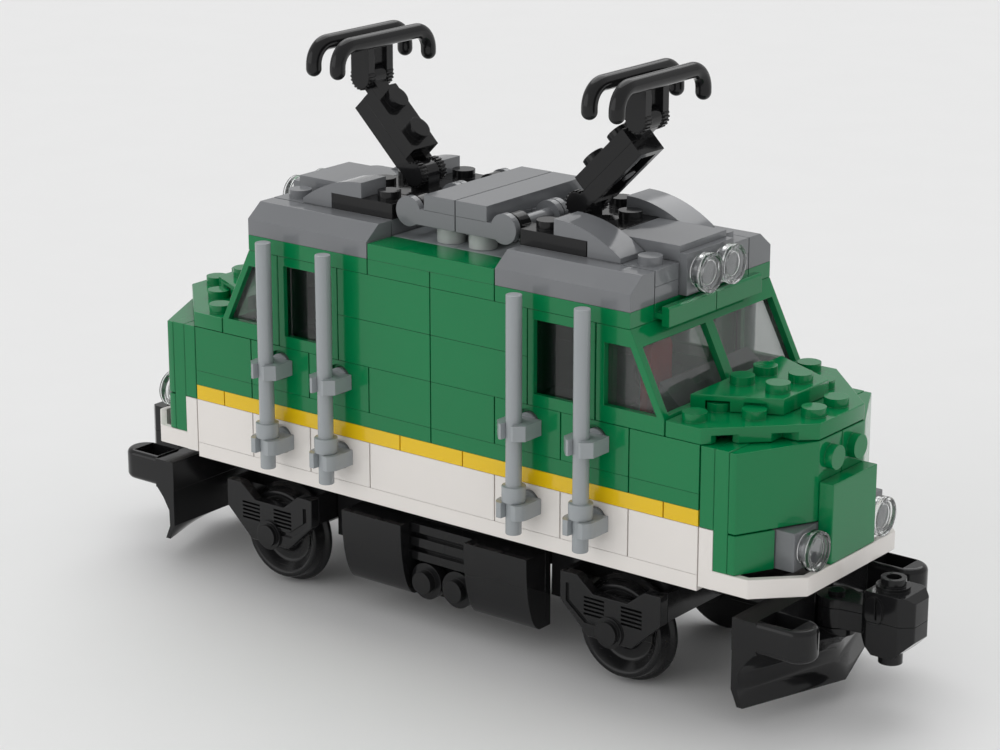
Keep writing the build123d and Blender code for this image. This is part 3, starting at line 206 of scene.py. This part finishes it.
@dataclass(frozen=True)
class MouldedPlastic:
    """Glossy injection-moulded plastic of one colour.

    The colour drifts a little from piece to piece and across each piece. Handling
    leaves duller patches and fine scratches, and the skin has a faint orange peel.
    """

    name: str
    colour: Colour
    roughness: float = 0.09
    smudge: float = 0.07
    drift: float = 0.04
    peel: float = 0.05
    soft_edge: float = 0.00016
    gloss: float = 0.5

    def build(self) -> bpy.types.Material:
        """Make the material."""
        sheet = NodeSheet(self.name)
        tone = sheet.add("ShaderNodeAttribute", attribute_name=PIECE_TONE, attribute_type="GEOMETRY")
        piece = sheet.spread(tone.outputs["Fac"], 1 - self.drift, 1 + self.drift, 0.0, 1.0)
        cloud = sheet.spread(sheet.noise(55, 3), 1 - self.drift, 1 + self.drift)
        both = sheet.add("ShaderNodeMath", operation="MULTIPLY")
        sheet.link(piece, both.inputs[0])
        sheet.link(cloud, both.inputs[1])
        hue = sheet.add("ShaderNodeHueSaturation", color=(*self.colour, 1))
        sheet.link(both.outputs[0], hue.inputs["Value"])
        shader = sheet.add("ShaderNodeBsdfPrincipled", ior=1.53, specular_ior_level=self.gloss)
        sheet.link(hue.outputs["Color"], shader.inputs["Base Color"])
        smears = sheet.spread(sheet.noise(95, 4, (1.0, 1.6, 0.6)), 0.0, self.smudge, 0.42, 0.72)
        scratch = sheet.spread(sheet.noise(260, 1, (0.12, 9.0, 9.0)), 0.0, self.smudge * 0.7, 0.66, 0.72)
        worn = sheet.add("ShaderNodeMath", operation="ADD")
        sheet.link(smears, worn.inputs[0])
        sheet.link(scratch, worn.inputs[1])
        rough = sheet.add("ShaderNodeMath", operation="ADD")
        rough.inputs[1].default_value = self.roughness
        sheet.link(worn.outputs[0], rough.inputs[0])
        sheet.link(rough.outputs[0], shader.inputs["Roughness"])
        skin = sheet.relief(sheet.noise(900, 2), 0.00003, self.peel, self.soft_edge)
        sheet.link(skin, shader.inputs["Normal"])
        return sheet.close(shader)


@dataclass(frozen=True)
class ClearPlastic:
    """Clear or milky moulded plastic with faint flow marks and finger smears."""

    name: str
    tint: Colour
    roughness: float = 0.02
    clear: float = 1.0
    ior: float = 1.49
    gloss: float = 0.5
    smear: float = 0.07

    def build(self) -> bpy.types.Material:
        """Make the material."""
        sheet = NodeSheet(self.name)
        shader = sheet.add("ShaderNodeBsdfPrincipled", transmission_weight=self.clear, ior=self.ior,
                           specular_ior_level=self.gloss)
        hue = sheet.add("ShaderNodeHueSaturation", color=(*self.tint, 1))
        sheet.link(sheet.spread(sheet.noise(120, 2), 0.96, 1.03), hue.inputs["Value"])
        sheet.link(hue.outputs["Color"], shader.inputs["Base Color"])
        touch = sheet.noise(140, 3, (1.0, 0.6, 1.5))
        smear = sheet.spread(touch, self.roughness, self.roughness + self.smear, 0.5, 0.8)
        sheet.link(smear, shader.inputs["Roughness"])
        flow = sheet.noise(170, 1, (0.5, 1.0, 1.4))
        bump = sheet.add("ShaderNodeBump", strength=0.10, distance=0.00008)
        sheet.link(flow, bump.inputs["Height"])
        sheet.link(bump.outputs["Normal"], shader.inputs["Normal"])
        return sheet.close(shader)


@dataclass(frozen=True)
class TurnedMetal:
    """Bare turned or plated metal with fine marks round its axis, which runs along Y."""

    name: str
    colour: Colour
    roughness: float = 0.28

    def build(self) -> bpy.types.Material:
        """Make the material."""
        sheet = NodeSheet(self.name)
        shader = sheet.add("ShaderNodeBsdfPrincipled", metallic=1.0)
        hue = sheet.add("ShaderNodeHueSaturation", color=(*self.colour, 1))
        marks = sheet.noise(400, 3, (1.0, 12.0, 1.0))
        sheet.link(sheet.spread(marks, 0.85, 1.08), hue.inputs["Value"])
        sheet.link(hue.outputs["Color"], shader.inputs["Base Color"])
        worn = sheet.spread(marks, self.roughness - 0.08, self.roughness + 0.12)
        sheet.link(worn, shader.inputs["Roughness"])
        sheet.link(sheet.relief(marks, 0.00002, 0.3, 0.0001), shader.inputs["Normal"])
        return sheet.close(shader)


@dataclass(frozen=True)
class Backdrop:
    """Matt pale studio paper with a hardly visible tooth."""

    name: str = "studio_paper"
    colour: Colour = linear(236, 236, 236)

    def build(self) -> bpy.types.Material:
        """Make the material."""
        sheet = NodeSheet(self.name)
        shader = sheet.add("ShaderNodeBsdfPrincipled", specular_ior_level=0.2)
        hue = sheet.add("ShaderNodeHueSaturation", color=(*self.colour, 1))
        sheet.link(sheet.spread(sheet.noise(40, 4), 0.995, 1.005), hue.inputs["Value"])
        sheet.link(hue.outputs["Color"], shader.inputs["Base Color"])
        sheet.link(sheet.spread(sheet.noise(300, 2), 0.7, 0.8), shader.inputs["Roughness"])
        return sheet.close(shader)


PIECE_TONE = "piece_tone"
FINISHES = {
    Slot.WHITE: MouldedPlastic("white_plastic", linear(240, 235, 230), drift=0.010),
    Slot.YELLOW: MouldedPlastic("yellow_plastic", linear(241, 199, 14), drift=0.02),
    Slot.GREEN: MouldedPlastic("green_plastic", linear(0, 124, 70), drift=0.02, gloss=0.4),
    Slot.DARK_GREY: MouldedPlastic("dark_grey_plastic", linear(121, 123, 126), drift=0.02),
    Slot.LIGHT_GREY: MouldedPlastic("light_grey_plastic", linear(160, 165, 168), drift=0.02),
    Slot.BLACK: MouldedPlastic("black_plastic", linear(27, 27, 28), drift=0.06, gloss=0.28),
    Slot.RED: MouldedPlastic("red_plastic", linear(190, 24, 20)),
    Slot.CLEAR: ClearPlastic("lens_plastic", (0.95, 0.96, 0.96), roughness=0.01),
    Slot.FROSTED: ClearPlastic("milky_plastic", (0.90, 0.93, 0.91), roughness=0.22, clear=0.55),
    Slot.WHEEL: MouldedPlastic("wheel_plastic", linear(27, 27, 28), roughness=0.18, smudge=0.14, drift=0.06,
                               gloss=0.26),
    Slot.STEEL: TurnedMetal("axle_steel", linear(178, 178, 174)),
    Slot.MAGNET: TurnedMetal("magnet_plating", linear(205, 205, 205), roughness=0.18),
}
OWN_FINISHES = {
    "side_window_panes": ClearPlastic("smoky_pane_plastic", (0.24, 0.27, 0.25), roughness=0.03, gloss=0.12),
    "windscreen_glass": ClearPlastic("milky_screen_plastic", (0.64, 0.66, 0.65), roughness=0.03, clear=0.96),
}


# ---- meshes --------------------------------------------------------------------
@dataclass
class Surface:
    """Corners and faces of a mesh as whole arrays.

    Attributes:
        corners: Positions, one row each.
        faces: Corner numbers, one row of 3 or 4 for each face.
    """

    corners: np.ndarray
    faces: np.ndarray

    def moved(self, matrix: Matrix) -> "Surface":
        """Return the surface after a rigid move.

        Args:
            matrix: The move, as a 4 by 4 matrix.

        Returns:
            A new surface.
        """
        m = np.array(matrix)
        return Surface(self.corners @ m[:3, :3].T + m[:3, 3], self.faces)

    @staticmethod
    def joined(parts: list["Surface"]) -> "Surface":
        """Join surfaces whose faces have equally many corners."""
        starts = np.cumsum([0] + [len(part.corners) for part in parts[:-1]])
        return Surface(np.vstack([part.corners for part in parts]),
                       np.vstack([part.faces + start for part, start in zip(parts, starts)]))


def merged(corners: np.ndarray, faces: np.ndarray) -> Surface:
    """Merge corners that agree to a tenth of a micrometre and drop collapsed faces.

    Args:
        corners: Positions in metres.
        faces: Corner numbers of the triangles.

    Returns:
        The merged surface.
    """
    _, first, number = np.unique(np.round(corners, 7), axis=0, return_index=True, return_inverse=True)
    faces = number.ravel()[faces].reshape(-1, 3)
    kept = (faces[:, 0] != faces[:, 1]) & (faces[:, 1] != faces[:, 2]) & (faces[:, 2] != faces[:, 0])
    return Surface(corners[first], faces[kept])


def shells(faces: np.ndarray) -> np.ndarray:
    """Number the closed shells of triangles that are listed shell after shell.

    Every edge of a closed shell is met twice. Each edge opens at its first triangle and
    closes at its second, and a shell ends after a triangle that leaves no edge open.

    Args:
        faces: Corner numbers of the triangles.

    Returns:
        The shell number of each triangle.
    """
    ends = np.sort(np.stack([faces.ravel(), np.roll(faces, -1, axis=1).ravel()], 1), axis=1)
    edge = ends[:, 0] * (faces.max() + 1) + ends[:, 1]
    face = np.repeat(np.arange(len(faces)), faces.shape[1])
    order = np.lexsort((face, edge))
    edge, face = edge[order], face[order]
    if len(edge) % 2 or not np.array_equal(edge[0::2], edge[1::2]):
        return np.zeros(len(faces), dtype=np.int64)
    count = len(faces)
    opened = np.bincount(face[0::2], minlength=count)
    closed = np.bincount(face[1::2], minlength=count)
    still_open = np.cumsum(opened - closed)
    return np.concatenate([[0], np.cumsum(still_open[:-1] == 0)])


def parted(surface: Surface, seam: float) -> Surface:
    """Give each shell its own corners and draw it in, so that seams show.

    A shell is scaled about its middle until its box is smaller by the seam on every side.

    Args:
        surface: Closed shells, listed one after another.
        seam: Set-back in metres.

    Returns:
        The parted surface.
    """
    shell = shells(surface.faces)
    count = len(surface.corners)
    names, number = np.unique((shell[:, None] * count + surface.faces).ravel(), return_inverse=True)
    corners, owner = surface.corners[names % count], names // count
    low = np.full((shell[-1] + 1, 3), np.inf)
    high = -low
    np.minimum.at(low, owner, corners)
    np.maximum.at(high, owner, corners)
    middle, half = (low + high) / 2, (high - low) / 2
    scale = 1 - np.minimum(seam / half, 0.02)
    corners = middle[owner] + (corners - middle[owner]) * scale[owner]
    return Surface(corners, number.reshape(-1, 3))


def tones(surface: Surface) -> np.ndarray:
    """Give each closed shell its own tone from 0 to 1, from where its middle lies."""
    shell = shells(surface.faces)
    owner = np.zeros(len(surface.corners), dtype=np.int64)
    owner[surface.faces.ravel()] = np.repeat(shell, surface.faces.shape[1])
    size = np.maximum(np.bincount(owner), 1)
    middle = np.stack([np.bincount(owner, surface.corners[:, k]) for k in range(3)], 1) / size[:, None]
    wave = np.sin(middle @ np.array([9127.1, 5311.7, 7433.3])) * 43758.5453
    return (wave - np.floor(wave))[owner]


def eased(outline: np.ndarray, radius: float, steps: int = 5) -> np.ndarray:
    """Round the corners of an outline with quadratic curves.

    Each corner is replaced by a curve that starts and ends at most one radius away from
    it, and never more than 0.45 of the way to the next corner.

    Args:
        outline: Points of the outline, one row each; both ends stay.
        radius: Reach of the rounding.
        steps: Points on each curve.

    Returns:
        The longer outline.
    """
    corner, before, after = outline[1:-1], outline[:-2], outline[2:]
    back, ahead = before - corner, after - corner
    far_back = np.linalg.norm(back, axis=1, keepdims=True)
    far_ahead = np.linalg.norm(ahead, axis=1, keepdims=True)
    start = corner + back / far_back * np.minimum(radius, 0.45 * far_back)
    stop = corner + ahead / far_ahead * np.minimum(radius, 0.45 * far_ahead)
    t = np.linspace(0, 1, steps)[None, :, None]
    curve = (1 - t) ** 2 * start[:, None] + 2 * t * (1 - t) * corner[:, None] + t ** 2 * stop[:, None]
    return np.vstack([outline[:1], curve.reshape(-1, outline.shape[1]), outline[-1:]])


def turned(outline: np.ndarray, segments: int = 96) -> Surface:
    """Sweep an outline of (radius, height) round the Z axis.

    The outline runs outward on undersides, up on outer sides and inward on tops, so
    that the faces look outward.

    Args:
        outline: Points (radius, height) in millimetres.
        segments: Steps round the axis.

    Returns:
        The surface in metres.
    """
    radius, height = outline.T / 1000
    angle = np.arange(segments) * (2 * math.pi / segments)
    corners = np.stack([radius[:, None] * np.cos(angle), radius[:, None] * np.sin(angle),
                        np.broadcast_to(height[:, None], (len(outline), segments))], -1).reshape(-1, 3)
    row = np.arange(len(outline) - 1)[:, None] * segments
    this = np.arange(segments)[None, :]
    after = (this + 1) % segments
    above = row + segments
    quads = np.stack([row + this, row + after, above + after, above + this], -1).reshape(-1, 4)
    return merged(corners, np.vstack([quads[:, [0, 1, 2]], quads[:, [0, 2, 3]]]))


def make_piece(name: str, surface: Surface, finish: bpy.types.Material,
               crease: float = 32.0) -> bpy.types.Object:
    """Turn a surface into a smooth-shaded object with sharp creases.

    Args:
        name: Name of the new object.
        surface: Its corners and faces.
        finish: Its material.
        crease: Angle in degrees past which an edge stays sharp.

    Returns:
        The object, at the origin.
    """
    mesh = bpy.data.meshes.new(name)
    size = surface.faces.shape[1]
    mesh.vertices.add(len(surface.corners))
    mesh.vertices.foreach_set("co", surface.corners.astype(np.float32).ravel())
    mesh.loops.add(surface.faces.size)
    mesh.loops.foreach_set("vertex_index", surface.faces.astype(np.int32).ravel())
    mesh.polygons.add(len(surface.faces))
    mesh.polygons.foreach_set("loop_start", np.arange(len(surface.faces), dtype=np.int32) * size)
    mesh.update(calc_edges=True)
    mesh.validate()
    mesh.shade_smooth()
    mesh.set_sharp_from_angle(angle=math.radians(crease))
    if len(mesh.vertices) == len(surface.corners):
        tone = mesh.attributes.new(PIECE_TONE, "FLOAT", "POINT")
        tone.data.foreach_set("value", tones(surface).astype(np.float32))
    mesh.materials.append(finish)
    piece = bpy.data.objects.new(name, mesh)
    bpy.context.scene.collection.objects.link(piece)
    return piece


def welded(node: str) -> Surface:
    """Return a CAD node's triangles with their shared corners merged.

    Args:
        node: Name of the CAD node.

    Returns:
        The merged surface.
    """
    mesh = frame["nodes"][node].data
    corners = np.empty(len(mesh.vertices) * 3)
    mesh.vertices.foreach_get("co", corners)
    corners = corners.reshape(-1, 3)
    faces = np.empty(len(mesh.loops), dtype=np.int64)
    mesh.loops.foreach_get("vertex_index", faces)
    return merged(corners, faces.reshape(-1, 3))


def fit_out(piece: bpy.types.Object, body: str, slot: Slot, *nodes: str) -> None:
    """Let a piece ride on a body and stand for CAD nodes.

    Args:
        piece: The finished object.
        body: Name of the body it moves with.
        slot: Material slot of the record; not used.
        *nodes: CAD nodes that it replaces.
    """
    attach(piece, body)
    if nodes:
        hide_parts(*nodes)
    LOG.info("%s on %s: %d faces", piece.name, body, len(piece.data.polygons))


def body_of(node: str) -> str:
    """Return the name of the body that holds a CAD node."""
    bodies = frame["record"]["behaviour"]["bodies"]
    return next(name for name, members in bodies.items() if node in members)


@dataclass
class Mouldings:
    """Brick mouldings that keep the CAD shape, welded and shaded smooth.

    Attributes:
        materials: Finish of each slot.
        own: Finishes of the nodes that don't take their slot's.
        crease: Angle in degrees past which an edge stays sharp.
        seam: Set-back in metres that shows the joint between two bricks.
    """

    materials: dict[Slot, bpy.types.Material]
    own: dict[str, bpy.types.Material]
    crease: float = 32.0
    seam: float = 0.000045

    def build(self, skip: set[str]) -> None:
        """Make a smooth piece for each CAD node.

        Args:
            skip: Nodes that another class replaces.
        """
        for row in frame["record"]["subparts"]:
            node, slot = row["node"], Slot(row["material_slot"])
            if node in skip:
                continue
            shape = parted(welded(node), self.seam)
            finish = self.own.get(node, self.materials[slot])
            piece = make_piece(f"{node}_moulding", shape, finish, self.crease)
            fit_out(piece, body_of(node), slot, node)


# ---- turned pieces ---------------------------------------------------------------
def spot(x: float, y: float, z: float, toward: Colour = (0, 0, 1)) -> Matrix:
    """Return the move that stands a turned piece on a point.

    Args:
        x: Place in mm, forward.
        y: Place in mm, to the left.
        z: Place in mm, up.
        toward: Direction that the piece's own axis takes.

    Returns:
        The move as a 4 by 4 matrix in metres.
    """
    turn = Vector((0, 0, 1)).rotation_difference(Vector(toward)).to_matrix().to_4x4()
    return Matrix.Translation(Vector((x, y, z)) / 1000) @ turn


@dataclass
class RunningGear:
    """Flanged wheels: a thin flange inside, a broad tread and a dished outer face.

    Attributes:
        materials: Finish of each slot.
        axle_x: Axle's distance from the middle, in mm like all that follow.
        axle_z: Axle's height.
        inner: Wheel's inner face from the centre plane.
        flange: Flange radius.
        tread: Tread radius.
        width: Wheel's width.
        bore: Radius of the axle hole.
    """

    materials: dict[Slot, bpy.types.Material]
    axle_x: float = 44.0
    axle_z: float = 11.0
    inner: float = 16.3
    flange: float = 11.0
    tread: float = 10.0
    width: float = 4.0
    bore: float = 1.5

    def outline(self) -> np.ndarray:
        """Return the wheel's closed outline, its flange side at height 0."""
        r, w = self.tread, self.width
        return eased(np.array([(self.bore, 0), (self.flange, 0), (self.flange, 0.8), (r, 1.5), (0.95 * r, w),
                               (0.84 * r, w), (0.64 * r, 0.45 * w), (0.42 * r, 0.42 * w), (0.34 * r, w - 0.3),
                               (self.bore, w - 0.3), (self.bore, 0)]), 0.5)

    def build(self) -> set[str]:
        """Make both wheel pairs and return the nodes that they replace."""
        wheel, done = turned(self.outline(), 128), set()
        for end in End:
            pair = [wheel.moved(spot(end.value * self.axle_x, side * self.inner, self.axle_z, (0, side, 0)))
                    for side in (-1, 1)]
            node = f"{end.word}_wheels"
            piece = make_piece(f"{end.word}_turned_wheels", Surface.joined(pair), self.materials[Slot.WHEEL])
            fit_out(piece, body_of(node), Slot.WHEEL, node)
            done.add(node)
        return done


@dataclass
class RoundTiles:
    """Clear lamp lenses and milky insulators, each pressed on a stud.

    Attributes:
        materials: Finish of each slot.
        stud: Stud radius in mm, like all that follow.
        socket: Radius of the hollow that takes a stud.
        deep: Depth of that hollow.
        tall: Height of a tile.
        neck: Radius of a lens behind its rim.
        rim: Radius of a lens at its rim.
        drum: Radius of an insulator.
        headlight: Foot of a headlight lens: forward, sideways and up.
        roof_lamp: Foot of a roof lamp lens: forward, sideways and up.
        drum_z: Height of the insulators' feet.
    """

    materials: dict[Slot, bpy.types.Material]
    stud: float = 2.4
    socket: float = 2.45
    deep: float = 1.8
    tall: float = 3.2
    neck: float = 3.12
    rim: float = 3.9
    drum: float = 2.9
    headlight: Colour = (80.0, 12, 34.0)
    roof_lamp: Colour = (49.6, 4, 80.7)
    drum_z: float = 79.6

    def lens(self) -> Surface:
        """Return a lens: socket, neck, rim and a ringed face."""
        outline = [(0, self.deep), (self.socket, self.deep), (self.socket, 0), (self.neck, 0),
                   (self.neck, 1.2), (self.rim, 1.2), (self.rim, self.tall), (3.2, self.tall),
                   (3.05, self.tall - 0.25), (0, self.tall - 0.25)]
        return turned(eased(np.array(outline), 0.22))

    def insulator(self) -> Surface:
        """Return an insulator: a plain drum with a stud on top."""
        outline = [(0, self.deep), (self.socket, self.deep), (self.socket, 0), (self.drum, 0),
                   (self.drum, self.tall), (self.stud, self.tall), (self.stud, self.tall + 1.7),
                    (0, self.tall + 1.7)]
        return turned(eased(np.array(outline), 0.22))

    def lamps(self, foot: Colour) -> list[Surface]:
        """Return a pair of lenses at each end, facing outward."""
        x, half, z = foot
        lens = self.lens()
        return [lens.moved(spot(end.value * x, y, z, (end.value, 0, 0)))
                for end in End for y in (-half, half)]

    def row(self, node: str, shapes: list[Surface], slot: Slot) -> str:
        """Join the shapes that replace one node, and return the node."""
        piece = make_piece(f"{node}_turned", Surface.joined(shapes), self.materials[slot])
        fit_out(piece, body_of(node), slot, node)
        return node

    def build(self) -> set[str]:
        """Make all round tiles and return the nodes that they replace."""
        drum = self.insulator()
        drums = [drum.moved(spot(x, y, self.drum_z)) for x in (-4, 4) for y in (-12, -4, 4, 12)]
        return {self.row("headlight_lenses", self.lamps(self.headlight), Slot.CLEAR),
                self.row("roof_lamp_lenses", self.lamps(self.roof_lamp), Slot.CLEAR),
                self.row("insulators", drums, Slot.FROSTED)}


@dataclass
class GrabRods:
    """Upright rods along both sides, each with a stud-wide collar above its foot.

    Attributes:
        materials: Finish of each slot.
        places: Rods' distances from the middle, in mm like all that follow.
        out: Rods' distance from the centre plane.
        foot: Height of a rod's lower end.
        length: Length of a rod.
        collar: Underside of the collar above the foot.
    """

    materials: dict[Slot, bpy.types.Material]
    places: tuple[float, ...] = (-40.0, -24.0, 24.0, 40.0)
    out: float = 28.1
    foot: float = 28.9
    length: float = 48.0
    collar: float = 6.7

    def build(self) -> set[str]:
        """Make the rods and return the node that they replace."""
        low, high = self.collar, self.collar + 3.2
        outline = [(0, 0), (1.6, 0), (1.6, low), (2.4, low), (2.4, high), (1.6, high), (1.6, self.length),
                   (0, self.length)]
        bar = turned(eased(np.array(outline), 0.2))
        rods = [bar.moved(spot(x, side * self.out, self.foot)) for x in self.places for side in (-1, 1)]
        piece = make_piece("grab_rods_turned", Surface.joined(rods), self.materials[Slot.LIGHT_GREY])
        fit_out(piece, body_of("grab_rods"), Slot.LIGHT_GREY, "grab_rods")
        return {"grab_rods"}


# ---- studio --------------------------------------------------------------------
@dataclass
class Studio:
    """Pale floor, soft lights and the camera.

    Attributes:
        azimuth: Camera's direction round the object in degrees, 0 looking along +Y.
        elevation: Camera's height angle in degrees.
        eye: Camera's place.
        lens: Focal length in mm on a 36 mm sensor.
        floor_half: Half the side of the floor in metres.
        horizon: Brightness of the room's light at eye level.
        glow: Brightness of the room's light overhead.
        key_from: Direction of the main light, behind the object and high.
        key_spread: Angle that the main light fills in the sky, in degrees.
        key_strength: Main light in watts per square metre.
        fill_from: Direction of the weaker light, low on the near side.
        fill_spread: Angle that the weaker light fills in the sky, in degrees.
        fill_strength: Weaker light in watts per square metre.
    """

    azimuth: float = 37.872
    elevation: float = 17.123
    eye: Colour = (0.337866, -0.435964, 0.21952)
    lens: float = 101.9
    floor_half: float = 6.0
    horizon: float = 0.62
    glow: float = 0.58
    key_from: Colour = (-0.4, 0.55, 1.0)
    key_spread: float = 62.0
    key_strength: float = 1.22
    fill_from: Colour = (-0.5, -1.0, 0.2)
    fill_spread: float = 60.0
    fill_strength: float = 0.75

    def camera(self) -> None:
        """Aim the camera at the locomotive."""
        data = bpy.data.cameras.new("camera")
        data.lens, data.sensor_width = self.lens, 36.0
        data.clip_start, data.clip_end = 0.01, 50.0
        turn, rise = math.radians(self.azimuth), math.radians(self.elevation)
        back = Vector((math.sin(turn) * math.cos(rise), -math.cos(turn) * math.cos(rise), math.sin(rise)))
        camera = bpy.data.objects.new("camera", data)
        camera.location = self.eye
        camera.rotation_mode = "QUATERNION"
        camera.rotation_quaternion = (-back).to_track_quat("-Z", "Y")
        bpy.context.scene.collection.objects.link(camera)
        bpy.context.scene.camera = camera

    def floor(self) -> None:
        """Lay the floor."""
        half = self.floor_half
        corners = np.array([(-half, -half, 0), (half, -half, 0), (half, half, 0), (-half, half, 0)])
        floor = make_piece("studio_floor", Surface(corners, np.array([[0, 1, 2, 3]])), Backdrop().build())

    def lamp(self, name: str, place: Colour, spread: float, strength: float) -> None:
        """Hang one distant soft light.

        Args:
            name: Name of the light.
            place: Direction that it comes from.
            spread: Angle that it fills in the sky, in radians.
            strength: Light on a facing surface, in watts per square metre.
        """
        data = bpy.data.lights.new(name, "SUN")
        data.angle, data.energy = spread, strength
        light = bpy.data.objects.new(name, data)
        light.location = place
        light.rotation_mode = "QUATERNION"
        light.rotation_quaternion = (-Vector(place)).to_track_quat("-Z", "Y")
        bpy.context.scene.collection.objects.link(light)

    def lights(self) -> None:
        """Hang the soft lights and set the room's glow, which is strongest at eye level."""
        world = bpy.data.worlds.new("room")
        world.use_nodes = True
        tree = world.node_tree
        place, parts = tree.nodes.new("ShaderNodeTexCoord"), tree.nodes.new("ShaderNodeSeparateXYZ")
        rise = tree.nodes.new("ShaderNodeMapRange")
        ramp = {"From Min": 0.0, "From Max": 0.6, "To Min": self.horizon, "To Max": self.glow}
        for key, value in ramp.items():
            rise.inputs[key].default_value = value
        tree.links.new(place.outputs["Generated"], parts.inputs["Vector"])
        tree.links.new(parts.outputs["Z"], rise.inputs["Value"])
        tree.links.new(rise.outputs["Result"], tree.nodes["Background"].inputs["Strength"])
        tree.nodes["Background"].inputs["Color"].default_value = (1.0, 1.0, 1.0, 1.0)
        bpy.context.scene.world = world
        self.lamp("key", self.key_from, math.radians(self.key_spread), self.key_strength)
        self.lamp("fill", self.fill_from, math.radians(self.fill_spread), self.fill_strength)

    def build(self) -> None:
        """Set up the whole studio."""
        self.camera()
        self.floor()
        self.lights()
        bpy.context.scene.view_settings.view_transform = "Standard"


def main() -> None:
    """Build every piece in order."""
    logging.basicConfig(level=logging.INFO, format="%(message)s")
    Studio().build()
    materials = {slot: finish.build() for slot, finish in FINISHES.items()}
    done = RunningGear(materials).build()
    done |= RoundTiles(materials).build() | GrabRods(materials).build()
    own = {node: finish.build() for node, finish in OWN_FINISHES.items()}
    Mouldings(materials, own).build(skip=done)


if __name__ == "__main__":
    main()
